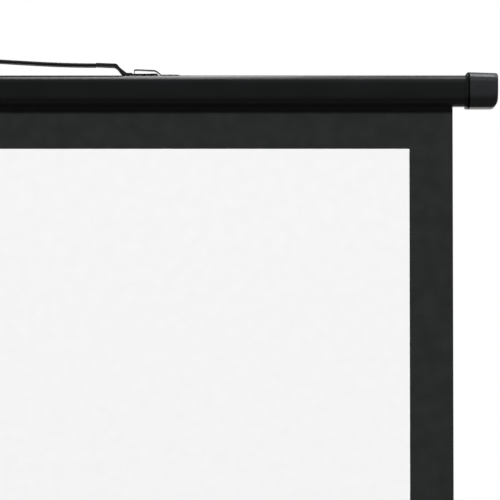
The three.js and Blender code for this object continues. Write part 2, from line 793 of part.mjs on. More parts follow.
// A lobed knob on a screw along X, from the screw's tip outwards
function knob(tip, seat, radius, thickness, lobes) {
  const count = 6 * lobes;
  const outline = new THREE.Shape();
  for (let i = 0; i < count; i++) {
    const turn = (2 * Math.PI * i) / count;
    const reach = (radius - knobBevel) * (1 - knobLobeShare * (1 - Math.cos(lobes * turn)));
    const point = [reach * Math.cos(turn), reach * Math.sin(turn)];
    if (i) outline.lineTo(...point);
    else outline.moveTo(...point);
  }
  const options = {
    depth: thickness - 2 * knobBevel,
    bevelThickness: knobBevel,
    bevelSize: knobBevel,
    bevelSegments: 1,
  };
  const head = new THREE.ExtrudeGeometry(outline, options).rotateY(Math.PI / 2);
  head.translate(seat + knobNeck + knobBevel, 0, 0);
  const neck = rodX(knobNeckRadius, seat, seat + knobNeck + knobBevel, smallSides);
  const screw = rodX(screwRadius, tip, seat + knobNeck, smallSides);
  return join(head, neck, screw);
}

function clampKnob(parent, name, outer, inner, z) {
  const seat = outer + clampWall + bossReach + seatGap;
  const holder = group(parent, 0, 0, z);
  holder.rotation.z = knobAzimuth * degree;
  piece(holder, name, knob(inner + seatGap, seat, knobRadius, knobThickness, knobLobes), blackPlastic);
}

// Head bracket. The origin is the case's pivot axis over the mast's axis; the disc stands in front.
function headBracket() {
  const front = caseBackY + seatGap + discStart;
  const back = caseBackY + seatGap + discEnd;
  const outer = topTubeRadius + seatGap + socketWall;
  const bottom = -socketDrop - socketLength;
  const web = new THREE.Shape();
  web.moveTo(front, 0);
  web.lineTo(front, -discRadius);
  web.quadraticCurveTo(front, bottom / 2 - discRadius / 2, -outer / 2, bottom + socketWall);
  web.lineTo(0, bottom + socketWall);
  web.lineTo(0, -socketDrop);
  web.lineTo(back, -socketDrop);
  web.lineTo(back, 0);
  const disc = rodY(discRadius, front, back);
  const socket = turned([
    [0, bottom],
    [outer - socketWall / 3, bottom],
    [outer, bottom + socketWall / 3],
    [outer, -socketDrop - socketWall / 3],
    [outer - socketWall / 3, -socketDrop],
    [0, -socketDrop],
  ]);
  const bore = rod(topTubeRadius + seatGap, bottom - overrun, -socketDrop - socketWall);
  const studBore = rodY(studRadius + seatGap, front - overrun, back + overrun, smallSides);
  const body = join(prismX(web, -bracketWebWidth / 2, bracketWebWidth / 2), disc, socket);
  return cut(body, bore, studBore);
}

function lockKnob() {
  const start = caseBackY + seatGap + discEnd + seatGap;
  const body = knob(0, 0, lockKnobRadius, lockKnobThickness, lockKnobLobes);
  const boreEnd = lockKnobThickness - lockKnobSkin + seatGap;
  const bored = cut(body, rodX(studRadius + seatGap, -overrun, boreEnd, smallSides));
  return bored.rotateZ(Math.PI / 2).translate(0, start, 0);
}

// Tripod pieces in a leg's own plane: X outwards, Z up, Y across
function legHub() {
  const bore = lowerTubeRadius + seatGap;
  const body = turned([
    [bore, -hubDown],
    [hubRadius - hubChamfer, -hubDown],
    [hubRadius, hubChamfer - hubDown],
    [hubRadius, hubUp - hubChamfer],
    [hubRadius - hubChamfer, hubUp],
    [bore, hubUp],
  ]);
  const lugShape = new THREE.Shape();
  const tangent = Math.PI / 3;
  lugShape.moveTo(bore + hubChamfer, -lugRoot);
  lugShape.lineTo(hubRadius, -lugRoot);
  lugShape.absarc(legHingeRadius, 0, lugRadius, -tangent, tangent);
  lugShape.lineTo(hubRadius, lugRoot);
  lugShape.lineTo(bore + hubChamfer, lugRoot);
  const half = legInside / 2 - legSideGap;
  const lug = prismY(lugShape, -half, half);
  const hole = rodY(legPinRadius + seatGap, -legWidth, legWidth, smallSides).translate(legHingeRadius, 0, 0);
  const drilled = cut(lug, hole);
  const lugs = Object.values(legAzimuths).map((azimuth) => drilled.clone().rotateZ(azimuth * degree));
  return join(body, ...lugs);
}

// A leg hangs along -Z from its hinge pin: a channel that is open towards the mast
function leg() {
  const end = legLength - footSole;
  const side = legDepth - legBackToPin;
  const outline = new THREE.Shape();
  const r = legDepth / 2 - legWall;
  outline.moveTo(-side, -end);
  outline.lineTo(legBackToPin, -end);
  outline.lineTo(legBackToPin, legTopEnd - r);
  outline.absarc(legBackToPin - r, legTopEnd - r, r, 0, Math.PI / 2);
  outline.absarc(r - side, legTopEnd - r, r, Math.PI / 2, Math.PI);
  const body = prismY(outline, -legWidth / 2, legWidth / 2);
  const inside = legInside / 2;
  const backX = legBackToPin - legWall;
  const channel = block(-side - overrun, backX, -inside, inside, -legLength, legTopEnd + overrun);
  const hole = rodY(legPinRadius + seatGap, -legWidth, legWidth, smallSides);
  return cut(body, channel, hole, hole.clone().translate(0, 0, -braceLength));
}

function pin() {
  const reach = legWidth / 2 + seatGap;
  const shank = rodY(legPinRadius, -reach - pinHeadHeight / 2, reach + pinHeadHeight / 2, smallSides);
  const head = rodY(pinHeadRadius, reach, reach + pinHeadHeight, smallSides);
  const tail = rodY(pinHeadRadius, -reach - pinHeadHeight, -reach, smallSides);
  return join(shank, head, tail);
}

function brace() {
  const r = braceWidth / 2;
  const shape = new THREE.Shape();
  shape.absarc(0, 0, r, 0, Math.PI);
  shape.absarc(0, -braceLength, r, Math.PI, 2 * Math.PI);
  const hole = rodY(legPinRadius + seatGap, -legWidth, legWidth, smallSides);
  const blade = prismY(shape, -braceThickness / 2, braceThickness / 2);
  return cut(blade, hole, hole.clone().translate(0, 0, -braceLength));
}

// A rubber shoe over the leg's end, cut flat where it stands on the floor
function foot() {
  const side = legDepth - legBackToPin;
  const width = legDepth + 2 * (seatGap + footWall);
  const outline = roundedRectangle(width, legWidth + 2 * (seatGap + footWall), footWall + seatGap);
  const middle = legBackToPin - legDepth / 2;
  const shoe = prismZ(outline, -legLength - footLength, footLength - footSole - legLength);
  shoe.translate(middle, 0, 0);
  const inside = legWidth / 2 + seatGap;
  const pocketEnd = footSole - legLength - seatGap;
  const pocket = block(-side - seatGap, legBackToPin + seatGap, -inside, inside, pocketEnd, 0);
  const tilted = cut(shoe, pocket).rotateY(-legAngle * degree);
  const floor = block(-legLength, 2 * legLength, -legLength, legLength, -3 * legLength, -hingeZ);
  return cut(tilted, floor);
}

// A sliding collar with a pair of ears for each brace, a rivet head on each ear
function braceCollar() {
  const bore = lowerTubeRadius + seatGap;
  const outer = lowerTubeRadius + collarWall;
  const half = collarHeight / 2;
  const edge = collarWall / 3;
  const body = turned([
    [bore, -half],
    [outer - edge, -half],
    [outer, edge - half],
    [outer, half - edge],
    [outer - edge, half],
    [bore, half],
  ]);
  const ear = new THREE.Shape();
  const rootHalf = half - 2 * edge;
  ear.moveTo(bore + edge, -rootHalf);
  ear.lineTo(outer, -rootHalf);
  ear.absarc(legHingeRadius, 0, earRadius, -Math.PI / 3, Math.PI / 3);
  ear.lineTo(outer, rootHalf);
  ear.lineTo(bore + edge, rootHalf);
  const inner = braceThickness / 2 + earGap;
  const ears = Object.values(legAzimuths).flatMap((azimuth) =>
    [-1, 1].map((side) => {
      const [y0, y1] = side < 0 ? [-inner - earThickness, -inner] : [inner, inner + earThickness];
      const sunk = overrun / 2;
      const headY = side < 0 ? [y0 - pinHeadHeight, y0 + sunk] : [y1 - sunk, y1 + pinHeadHeight];
      const head = rodY(pinHeadRadius, ...headY, smallSides).translate(legHingeRadius, 0, 0);
      return join(prismY(ear, y0, y1), head).rotateZ(azimuth * degree);
    }),
  );
  const boss = rodX(bossRadius, bore + edge, outer + bossReach, smallSides).rotateZ(knobAzimuth * degree);
  const screwHole = rodX(screwRadius + seatGap, 0, outer + bossReach + overrun, smallSides);
  return cut(join(body, ...ears, boss), screwHole.rotateZ(knobAzimuth * degree));
}

// A rubber plug in the lower tube's open end
function tubePlug() {
  const inside = lowerTubeRadius - tubeWall - seatGap;
  return turned([
    [0, tubeFloorGap - plugFlange],
    [lowerTubeRadius - seatGap, tubeFloorGap - plugFlange],
    [lowerTubeRadius, tubeFloorGap - plugFlange / 2],
    [lowerTubeRadius, tubeFloorGap - seatGap],
    [inside, tubeFloorGap - seatGap],
    [inside, tubeFloorGap + plugLength],
    [0, tubeFloorGap + plugLength],
  ]);
}

// Assembly. The mast's axis is X = Y = 0 here; the whole is then centred over the floor.
const screen = new THREE.Group();
const assembly = group(screen, 0, 0, 0);

piece(assembly, "lower_tube", tube(lowerTubeRadius, tubeFloorGap, lowerClampZ), blackTube);
piece(assembly, "tube_plug", tubePlug(), blackRubber);
const lowerClampGeometry = join(
  clamp(lowerTubeRadius, midTubeRadius).translate(0, 0, lowerClampZ),
  bailHook(hookTipZ),
);
piece(assembly, "lower_clamp", lowerClampGeometry, blackPlastic);
clampKnob(assembly, "lower_knob", lowerTubeRadius, midTubeRadius, lowerClampZ + clampHood / 2);

const midTubeFoot = lowerClampZ - tubeOverlap;
piece(assembly, "middle_tube", tube(midTubeRadius, midTubeFoot, upperClampZ), blackTube);
piece(assembly, "middle_bush", bush(midTubeRadius, lowerTubeRadius - tubeWall, midTubeFoot), blackPlastic);
const upperClampGeometry = clamp(midTubeRadius, topTubeRadius).translate(0, 0, upperClampZ);
piece(assembly, "upper_clamp", upperClampGeometry, blackPlastic);
clampKnob(assembly, "upper_knob", midTubeRadius, topTubeRadius, upperClampZ + clampHood / 2);

const topTubeTop = socketTopZ - socketWall - seatGap;
const topTubeFoot = upperClampZ - tubeOverlap;
piece(assembly, "top_tube", tube(topTubeRadius, topTubeFoot, topTubeTop), blackTube);
piece(assembly, "top_bush", bush(topTubeRadius, midTubeRadius - tubeWall, topTubeFoot), blackPlastic);

const head = group(assembly, 0, 0, caseZ);
piece(head, "head_bracket", headBracket(), blackPlastic);
piece(head, "lock_knob", lockKnob(), blackPlastic);
const pivot = group(head, 0, caseBackY + seatGap, 0);
piece(pivot, "pivot_plate", pivotPlate(), blackSheet);
const washerStart = plateThickness + seatGap;
const washerGeometry = cut(
  rodY(washerRadius, washerStart, washerStart + washerThickness),
  rodY(studRadius + seatGap, 0, discStart, smallSides),
);
piece(pivot, "pivot_washer", washerGeometry, zincSteel);

const casing = group(assembly, 0, caseY, caseZ);
piece(casing, "case_shell", caseShell(), blackPaint);
piece(casing, "end_cap_right", endCap(), blackPlastic);
piece(casing, "end_cap_left", mirrored(endCap()), blackPlastic);
piece(casing, "roller_bracket_right", rollerBracket(), zincSteel);
piece(casing, "roller_bracket_left", mirrored(rollerBracket()), zincSteel);
piece(casing, "spring_shaft", springShaft(), zincSteel);
piece(casing, "ratchet_wheel", ratchetWheel(), zincSteel);

const handle = group(casing, 0, 0, caseHeight / 2);
piece(handle, "handle_strip", handleStrip(), blackPlastic);
piece(handle, "handle_grip", handleGrip(), blackPlastic);
piece(handle, "keeper_right", keeper(), blackSheet);
piece(handle, "keeper_left", mirrored(keeper()), blackSheet);

const rollerTubeGeometry = sleeve(rollerRadius - rollerWall, rollerRadius, -rollerEndX, rollerEndX);
piece(casing, "roller_tube", rollerTubeGeometry.rotateY(Math.PI / 2), rawAluminium);
const rollGeometry = sleeve(rollerRadius + seatGap, rollRadius, -clothWidth / 2, clothWidth / 2);
piece(casing, "cloth_roll", rollGeometry.rotateY(Math.PI / 2), borderBlack);
piece(casing, "idle_plug", rollerPlug(), blackPlastic);
piece(casing, "drive_plug", drivePlug(), blackPlastic);
const springStart = rollerEndX - springShaftLength + anchorThickness + seatGap;
const springEnd = rollerEndX - plugLength - seatGap;
const springGeometry = sleeve(springRadius - springWire, springRadius, springStart, springEnd, smallSides);
piece(casing, "torsion_spring", springGeometry.rotateY(Math.PI / 2), springSteel);
piece(casing, "ratchet_pawl", pawl(), zincSteel);

const cloth = group(assembly, 0, clothY, caseZ);
const clothBottom = barTopZ - hemDepth + hemRodRadius + seatGap - caseZ;
piece(cloth, "border_cloth", borderCloth(0, clothBottom), borderBlack);
const pictureGeometry = block(
  -pictureWidth / 2,
  pictureWidth / 2,
  -clothThickness / 2,
  clothThickness / 2,
  pictureCentreHeight - pictureHeight / 2 - caseZ,
  pictureCentreHeight + pictureHeight / 2 - caseZ,
);
piece(cloth, "picture_cloth", pictureGeometry, whiteCloth);

const bar = group(assembly, 0, clothY, barTopZ);
piece(bar, "bottom_bar", barSection(), blackTube);
piece(bar, "bar_cap_right", barCap(), blackPlastic);
piece(bar, "bar_cap_left", mirrored(barCap()), blackPlastic);
const hemRodGeometry = rodX(hemRodRadius, -clothWidth / 2, clothWidth / 2, smallSides);
piece(bar, "hem_rod", hemRodGeometry.translate(0, 0, -hemDepth), whiteCloth);
const bailGroup = group(assembly, 0, clothY, bailAxisZ);
piece(bailGroup, "bail_bracket", bailBracket(), blackSheet);
piece(bailGroup, "bail", bail(), zincSteel);

const hubGroup = group(assembly, 0, 0, hingeZ);
piece(hubGroup, "leg_hub", legHub(), blackPlastic);
const collarGroup = group(assembly, 0, 0, collarZ);
piece(collarGroup, "brace_collar", braceCollar(), blackPlastic);
clampKnob(collarGroup, "collar_knob", lowerTubeRadius + collarWall - clampWall, lowerTubeRadius, 0);

for (const [name, azimuth] of Object.entries(legAzimuths)) {
  const plane = group(assembly, 0, 0, 0);
  plane.rotation.z = azimuth * degree;
  const hinge = group(plane, legHingeRadius, 0, hingeZ);
  piece(hinge, "foot_" + name, foot(), blackRubber);
  const swung = group(hinge, 0, 0, 0);
  swung.rotation.y = -legAngle * degree;
  piece(swung, "leg_" + name, leg(), blackTube);
  piece(swung, "leg_pin_" + name, pin(), zincSteel);
  const knee = group(swung, 0, 0, -braceLength);
  piece(knee, "brace_pin_" + name, pin(), zincSteel);
  const stay = group(knee, 0, 0, 0);
  stay.rotation.y = 2 * legAngle * degree;
  piece(stay, "brace_" + name, brace(), blackTube);
}

const extent = new THREE.Box3().setFromObject(assembly, true);
assembly.position.y = -(extent.min.y + extent.max.y) / 2;

export default screen;
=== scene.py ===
"""Tripod projector screen: its visible pieces, their finishes, the studio and the camera. Metres, +Z up."""
import json
import math

import bmesh
import bpy
from mathutils import Matrix, Vector


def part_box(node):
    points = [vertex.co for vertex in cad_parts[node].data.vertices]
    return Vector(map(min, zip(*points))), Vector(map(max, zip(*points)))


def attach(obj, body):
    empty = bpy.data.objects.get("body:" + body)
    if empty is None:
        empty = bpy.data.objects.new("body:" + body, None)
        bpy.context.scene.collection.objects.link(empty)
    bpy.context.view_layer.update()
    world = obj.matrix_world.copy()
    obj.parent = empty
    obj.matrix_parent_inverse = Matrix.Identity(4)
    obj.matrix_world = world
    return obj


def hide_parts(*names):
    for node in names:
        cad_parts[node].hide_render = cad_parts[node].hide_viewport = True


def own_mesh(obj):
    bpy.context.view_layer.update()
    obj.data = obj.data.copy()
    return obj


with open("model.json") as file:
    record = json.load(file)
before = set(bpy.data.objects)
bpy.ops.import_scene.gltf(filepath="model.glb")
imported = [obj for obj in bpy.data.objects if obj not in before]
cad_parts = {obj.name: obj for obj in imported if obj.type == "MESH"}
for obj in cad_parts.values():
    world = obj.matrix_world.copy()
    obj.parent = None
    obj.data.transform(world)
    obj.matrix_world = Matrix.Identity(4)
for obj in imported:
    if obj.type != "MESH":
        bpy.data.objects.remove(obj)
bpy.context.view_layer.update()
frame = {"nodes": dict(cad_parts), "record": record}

nodes = frame["nodes"]
record = frame["record"]
body_of_node = {node: body for body, members in record["behaviour"]["bodies"].items() for node in members}

MM = 0.001
X_AXIS = Vector((1, 0, 0))
Y_AXIS = Vector((0, 1, 0))
Z_AXIS = Vector((0, 0, 1))
MERGE = 0.02 * MM
QUARTER = math.pi / 2

# Places that many pieces share, read from the solids
case_low, case_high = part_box("case_shell")
case_centre = (case_low + case_high) / 2
cloth_low, cloth_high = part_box("border_cloth")
picture_low, picture_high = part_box("picture_cloth")
picture_centre = (picture_low + picture_high) / 2
mast_low, mast_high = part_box("lower_tube")
mast_y = (mast_low.y + mast_high.y) / 2


# Camera: level with the picture's centre, in front of the upper right corner and looking up at the case
STATION = Vector((330 * MM, -4500 * MM, 20 * MM))  # from the picture's centre
AIM = Vector((324.4 * MM, 0, 264.3 * MM))
FRAME_SIZE = 575.4 * MM  # the photograph's width and height on the cloth

aim = picture_centre + AIM
station = picture_centre + STATION
lens = bpy.data.cameras.new("camera")
lens.sensor_width = 36
lens.lens = lens.sensor_width * (aim - station).length / FRAME_SIZE
lens.clip_end = 100
camera = bpy.data.objects.new("camera", lens)
camera.location = station
camera.rotation_mode = "QUATERNION"
camera.rotation_quaternion = (aim - station).to_track_quat("-Z", "Y")
bpy.context.scene.collection.objects.link(camera)
bpy.context.scene.camera = camera


# Materials
def linear(hex_colour):
    """An sRGB colour such as "1b1c1e" as the linear colour that a shader takes."""
    channels = [int(hex_colour[i : i + 2], 16) / 255 for i in (0, 2, 4)]
    return [c / 12.92 if c <= 0.04045 else ((c + 0.055) / 1.055) ** 2.4 for c in channels] + [1.0]


def per_metre(size_mm):
    """A texture's scale on coordinates in metres, for features of this size."""
    return 1000 / size_mm


def add_node(tree, kind, settings=None, values=None, links=None):
    """Adds a node, sets its settings and input values, and runs links into its inputs."""
    node = tree.nodes.new(kind)
    for name, value in (settings or {}).items():
        setattr(node, name, value)
    for name, value in (values or {}).items():
        node.inputs[name].default_value = value
    for name, source in (links or {}).items():
        tree.links.new(source, node.inputs[name])
    return node


def noise(tree, size_mm, detail, coordinates):
    """A noise pattern with features of this size."""
    values = {"Scale": per_metre(size_mm), "Detail": detail}
    node = add_node(tree, "ShaderNodeTexNoise", values=values, links={"Vector": coordinates})
    return node.outputs["Fac"]


def cellular(tree, size_mm, coordinates):
    """A pattern of rounded cells of this size."""
    values = {"Scale": per_metre(size_mm)}
    node = add_node(tree, "ShaderNodeTexVoronoi", values=values, links={"Vector": coordinates})
    return node.outputs["Distance"]


def waves(tree, direction, size_mm, coordinates, distortion=0.0):
    """Soft bands across an axis, this far apart."""
    values = {"Scale": per_metre(size_mm) / (2 * math.pi), "Distortion": distortion}
    settings = {"bands_direction": direction}
    return add_node(tree, "ShaderNodeTexWave", settings, values, {"Vector": coordinates}).outputs["Fac"]


def drawn_out(tree, scale, coordinates):
    """The coordinates scaled, so that a pattern is drawn out along the axis whose scale is small."""
    node = add_node(tree, "ShaderNodeMapping", values={"Scale": scale}, links={"Vector": coordinates})
    return node.outputs["Vector"]


def combined(tree, operation, first, second):
    """The result of a math operation on two values."""
    node = add_node(tree, "ShaderNodeMath", {"operation": operation}, links={0: first, 1: second})
    return node.outputs["Value"]


def shaded(name, roughness, metallic=0.0, ior=1.5, specular=0.5):
    """A material with the shader's uniform values set, and its tree, shader and object coordinates."""
    material = bpy.data.materials.new(name)
    material.use_nodes = True
    tree = material.node_tree
    shader = tree.nodes["Principled BSDF"]
    shader.inputs["Roughness"].default_value = roughness
    shader.inputs["Metallic"].default_value = metallic
    shader.inputs["IOR"].default_value = ior
    shader.inputs["Specular IOR Level"].default_value = specular
    place = add_node(tree, "ShaderNodeTexCoord").outputs["Object"]
    return material, tree, shader, place


def vary_colour(tree, shader, pattern, dark, light, start=0.35, end=0.65):
    """Runs the pattern between two colours into the shader."""
    ramp = add_node(tree, "ShaderNodeValToRGB", links={"Fac": pattern})
    ramp.color_ramp.elements[0].position = start
    ramp.color_ramp.elements[0].color = linear(dark)
    ramp.color_ramp.elements[1].position = end
    ramp.color_ramp.elements[1].color = linear(light)
    tree.links.new(ramp.outputs["Color"], shader.inputs["Base Color"])


def vary_roughness(tree, shader, pattern, low, high):
    """Runs the pattern between two roughnesses into the shader."""
    spread = add_node(
        tree,
        "ShaderNodeMapRange",
        values={"To Min": low, "To Max": high},
        links={"Value": pattern},
    )
    tree.links.new(spread.outputs["Result"], shader.inputs["Roughness"])


def emboss(tree, shader, pattern, height_mm, strength=1.0):
    """Bumps the surface by the pattern, up to this height."""
    bump = add_node(
        tree,
        "ShaderNodeBump",
        values={"Strength": strength, "Distance": height_mm * MM},
        links={"Height": pattern},
    )
    tree.links.new(bump.outputs["Normal"], shader.inputs["Normal"])


def powder_coated_aluminium():
    """Extruded aluminium in semi-gloss black polyester powder: soft highlights and a faint orange peel."""
    material, tree, shader, place = shaded("powder_coated_aluminium", 0.28, specular=0.08)
    peel = noise(tree, 2.2, 2, place)
    cloud = noise(tree, 60, 4, place)
    vary_colour(tree, shader, cloud, "090a0a", "0e0f10")
    vary_roughness(tree, shader, cloud, 0.26, 0.33)
    emboss(tree, shader, peel, 0.03, 0.25)
    return material


def spark_grained_abs():
    """Injection-moulded ABS from a spark-eroded mould: a fine even grain with a dull sheen."""
    material, tree, shader, place = shaded("spark_grained_abs", 0.28, ior=1.53, specular=0.12)
    # the real grain is 0.1 mm, and is drawn at 0.7 mm to show
    grain = noise(tree, 0.7, 3, place)
    flow = noise(tree, 25, 3, place)
    vary_colour(tree, shader, flow, "17181a", "1d1f21")
    vary_roughness(tree, shader, flow, 0.24, 0.3)
    emboss(tree, shader, grain, 0.02, 0.15)
    return material


def glass_filled_nylon():
    """Injection-moulded glass-filled nylon: a matt black with a slightly mottled, fibrous skin."""
    material, tree, shader, place = shaded("glass_filled_nylon", 0.5, ior=1.53, specular=0.2)
    fibre = cellular(tree, 1.4, place)
    mottle = noise(tree, 8, 5, place)
    vary_colour(tree, shader, mottle, "151516", "202022")
    vary_roughness(tree, shader, mottle, 0.42, 0.6)
    emboss(tree, shader, fibre, 0.05, 0.3)
    return material


def plasticised_pvc():
    """Soft moulded PVC of the handle's strap: dull black with a fine leathery grain."""
    material, tree, shader, place = shaded("plasticised_pvc", 0.48, ior=1.52, specular=0.08)
    grain = cellular(tree, 1.1, place)
    dust = noise(tree, 12, 5, place)
    vary_colour(tree, shader, dust, "121212", "1b1b1b")
    vary_roughness(tree, shader, dust, 0.4, 0.58)
    emboss(tree, shader, grain, 0.08, 0.4)
    return material


def stoved_enamel_sheet():
    """Pressed sheet steel in stoved black enamel: smooth and fairly glossy."""
    material, tree, shader, place = shaded("stoved_enamel_sheet", 0.3, specular=0.08)
    peel = noise(tree, 1.6, 2, place)
    haze = noise(tree, 18, 4, place)
    vary_colour(tree, shader, haze, "0c0d0e", "131415")
    vary_roughness(tree, shader, haze, 0.3, 0.42)
    emboss(tree, shader, peel, 0.03, 0.3)
    return material


def enamelled_steel_tube():
    """Drawn steel tube in satin black enamel: long soft highlights with faint draw lines along the tube."""
    material, tree, shader, place = shaded("enamelled_steel_tube", 0.33, specular=0.2)
    stretched = drawn_out(tree, (1, 1, 0.02), place)
    draw = noise(tree, 1.2, 2, stretched)
    haze = noise(tree, 30, 4, place)
    vary_colour(tree, shader, haze, "151617", "1c1d1f")
    vary_roughness(tree, shader, haze, 0.27, 0.4)
    emboss(tree, shader, draw, 0.02, 0.25)
    return material


def black_anodised_aluminium():
    """Extruded aluminium, satin-etched and anodised black: fine die lines along the bar."""
    material, tree, shader, place = shaded("black_anodised_aluminium", 0.36, specular=0.2)
    stretched = drawn_out(tree, (0.01, 1, 1), place)
    lines = noise(tree, 0.8, 3, stretched)
    vary_colour(tree, shader, lines, "17181a", "232427")
    vary_roughness(tree, shader, lines, 0.3, 0.44)
    emboss(tree, shader, lines, 0.02, 0.3)
    return material


def zinc_plated_steel():
    """Steel with bright zinc plate: a cool, slightly clouded metal."""
    material, tree, shader, place = shaded("zinc_plated_steel", 0.3, metallic=1.0)
    cloud = noise(tree, 5, 6, place)
    scuff = noise(tree, 0.5, 2, place)
    vary_colour(tree, shader, cloud, "a3a7aa", "c8cbcd")
    vary_roughness(tree, shader, cloud, 0.22, 0.42)
    emboss(tree, shader, scuff, 0.01, 0.25)
    return material


def mill_finish_aluminium():
    """Unfinished aluminium tube: pale metal with die lines."""
    material, tree, shader, place = shaded("mill_finish_aluminium", 0.38, metallic=1.0)
    stretched = drawn_out(tree, (0.01, 1, 1), place)
    lines = noise(tree, 0.9, 4, stretched)
    vary_colour(tree, shader, lines, "b0b2b4", "cfd0d1")
    vary_roughness(tree, shader, lines, 0.3, 0.5)
    return material


def oiled_spring_steel():
    """Blued, oiled spring wire: dark metal, its turns raised by a bump and painted lighter on each crest and
    darker between turns as painted highlight and shade.
    """
    material, tree, shader, place = shaded("oiled_spring_steel", 0.35, metallic=1.0)
    turn_relief_and_shade = waves(tree, "X", 1.6, place, distortion=0.2)
    # lighter on each turn's crest and darker between the turns: painted highlight and shade
    vary_colour(tree, shader, turn_relief_and_shade, "3a3c40", "6d7074")
    emboss(tree, shader, turn_relief_and_shade, 0.4, 0.8)
    return material


def vulcanised_rubber():
    """Moulded black rubber: matt, with a dusty bloom."""
    material, tree, shader, place = shaded("vulcanised_rubber", 0.75, ior=1.52)
    bloom = noise(tree, 6, 6, place)
    vary_colour(tree, shader, bloom, "101010", "1d1c1c")
    vary_roughness(tree, shader, bloom, 0.65, 0.9)
    emboss(tree, shader, bloom, 0.1, 0.3)
    return material


THREAD_DRAWN = 1.8  # mm between threads. The real ones are 0.5 mm apart, and are drawn wider to show


def woven_on(tree, thread_mm):
    """A plain weave's height on the sheet's own map, in metres."""
    sheet_map = add_node(tree, "ShaderNodeUVMap", {"uv_map": "sheet"}).outputs["UV"]
    warp = waves(tree, "X", thread_mm, sheet_map)
    weft = waves(tree, "Y", thread_mm, sheet_map)
    return sheet_map, combined(tree, "MULTIPLY", warp, weft)


def matt_white_screen_coating():
    """Glass-fibre cloth coated in matt white PVC: a bright surface that shows its weave faintly."""
    material, tree, shader, _ = shaded("matt_white_screen_coating", 0.85)
    sheet_map, woven = woven_on(tree, THREAD_DRAWN)
    mottle = noise(tree, 14, 5, sheet_map)
    vary_colour(tree, shader, mottle, "f5f5f6", "f7f7f7")
    emboss(tree, shader, woven, 0.05, 0.15)
    return material


def matt_black_screen_coating():
    """The same cloth where it is coated matt black: the light-stop border and the back."""
    material, tree, shader, _ = shaded("matt_black_screen_coating", 0.62, ior=1.45, specular=0.05)
    sheet_map, woven = woven_on(tree, THREAD_DRAWN)
    mottle = noise(tree, 20, 5, sheet_map)
    vary_colour(tree, shader, mottle, "242525", "292a2a")
    emboss(tree, shader, woven, 0.05, 0.2)
    return material


def painted_gap_shade():
    """Near-black matt colour on the floor of the caps' shadow gap: painted shade, and it gives nothing back.
    """
    material, tree, shader, place = shaded("painted_gap_shade", 0.95, ior=1.1)
    cells = cellular(tree, 0.6, place)
    vary_colour(tree, shader, cells, "030303", "0a0a0a")
    vary_roughness(tree, shader, cells, 0.9, 1.0)
    return material


case_coat = powder_coated_aluminium()
# near-black painted shade for the floor of the caps' shadow gap
gap_shade = painted_gap_shade()
cap_abs = spark_grained_abs()
nylon = glass_filled_nylon()
strap_pvc = plasticised_pvc()
sheet_enamel = stoved_enamel_sheet()
tube_enamel = enamelled_steel_tube()
bar_anodised = black_anodised_aluminium()
zinc = zinc_plated_steel()
mill_aluminium = mill_finish_aluminium()
spring_steel = oiled_spring_steel()
rubber = vulcanised_rubber()
white_coating = matt_white_screen_coating()
black_coating = matt_black_screen_coating()


# Making pieces
SHARP_ANGLE = 32  # degrees, where smooth shading breaks
ARC_STEP = 6  # degrees
BEAD_SEGMENTS = 20


def finished(bm, name, stands_for, *materials, sharp=SHARP_ANGLE):
    """The mesh as a named, smooth-shaded piece with these materials, on the body of the solids it stands for,
    which are hidden.
    """
    mesh = bpy.data.meshes.new(name)
    bm.to_mesh(mesh)
    bm.free()
    mesh.shade_smooth()
    mesh.set_sharp_from_angle(angle=math.radians(sharp))
    for material in materials:
        mesh.materials.append(material)
    piece = bpy.data.objects.new(name, mesh)
    bpy.context.scene.collection.objects.link(piece)
    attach(piece, body_of_node[stands_for[0]])
    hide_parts(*stands_for)
    return piece


def cleaned_copy(node):
    """A solid's mesh with its triangles merged back to whole faces."""
    bm = bmesh.new()
    bm.from_mesh(nodes[node].data)
    bmesh.ops.remove_doubles(bm, verts=bm.verts, dist=MERGE)
    bmesh.ops.dissolve_limit(bm, angle_limit=math.radians(1), verts=bm.verts, edges=bm.edges)
    return bm


def ease_edges(piece, edge_mm, segments=2, angle=40):
    """Rounds a piece's sharp edges, as a moulding's, a casting's or a pressing's are."""
    edges = piece.modifiers.new("eased_edges", "BEVEL")
    edges.width = edge_mm * MM
    edges.segments = segments
    edges.profile = 0.5
    edges.limit_method = "ANGLE"
    edges.angle_limit = math.radians(angle)
    edges.harden_normals = True


def eased(node, name, material, edge_mm, segments=2, angle=40):
    """A solid with its sharp edges rounded."""
    piece = finished(cleaned_copy(node), name, [node], material)
    ease_edges(piece, edge_mm, segments, angle)


def traced_face(bm, start, moves, axis):
    """A face whose outline runs from start through straight moves (a point) and arcs (centre, degrees)."""
    last = bm.verts.new(start)
    first = last
    for move in moves:
        if len(move) == 3:
            made = bmesh.ops.extrude_vert_indiv(bm, verts=[last])
            last = made["verts"][0]
            last.co = move
        else:
            centre, turn = move
            made = bmesh.ops.spin(
                bm, geom=[last], cent=centre, axis=axis, dvec=(0, 0, 0), angle=math.radians(turn),
                steps=max(2, round(abs(turn) / ARC_STEP)), use_merge=False,
            )
            last = made["geom_last"][0]
    bm.edges.new((last, first))
    made = bmesh.ops.contextual_create(bm, geom=bm.edges[:])
    return made["faces"][0]


def extruded(bm, face, shift):
    """Extrudes a face to a solid, and gives the new end's vertices."""
    made = bmesh.ops.extrude_face_region(bm, geom=[face], use_keep_orig=True)
    end = [v for v in made["geom"] if isinstance(v, bmesh.types.BMVert)]
    bmesh.ops.translate(bm, verts=end, vec=shift)
    bmesh.ops.recalc_face_normals(bm, faces=bm.faces)
    return end


def turned_ring(bm, profile, centre, axis, segments):
    """Turns a closed profile of (radius, distance along the axis) points about the axis."""
    side = axis.orthogonal().normalized()
    verts = [bm.verts.new(centre + side * radius + axis * along) for radius, along in profile]
    edges = [bm.edges.new((verts[i - 1], verts[i])) for i in range(len(verts))]
    bmesh.ops.spin(
        bm, geom=verts + edges, cent=centre, axis=axis, dvec=(0, 0, 0), angle=2 * math.pi, steps=segments,
        use_merge=True,
    )
    bmesh.ops.remove_doubles(bm, verts=bm.verts, dist=MERGE)
    bmesh.ops.recalc_face_normals(bm, faces=bm.faces)


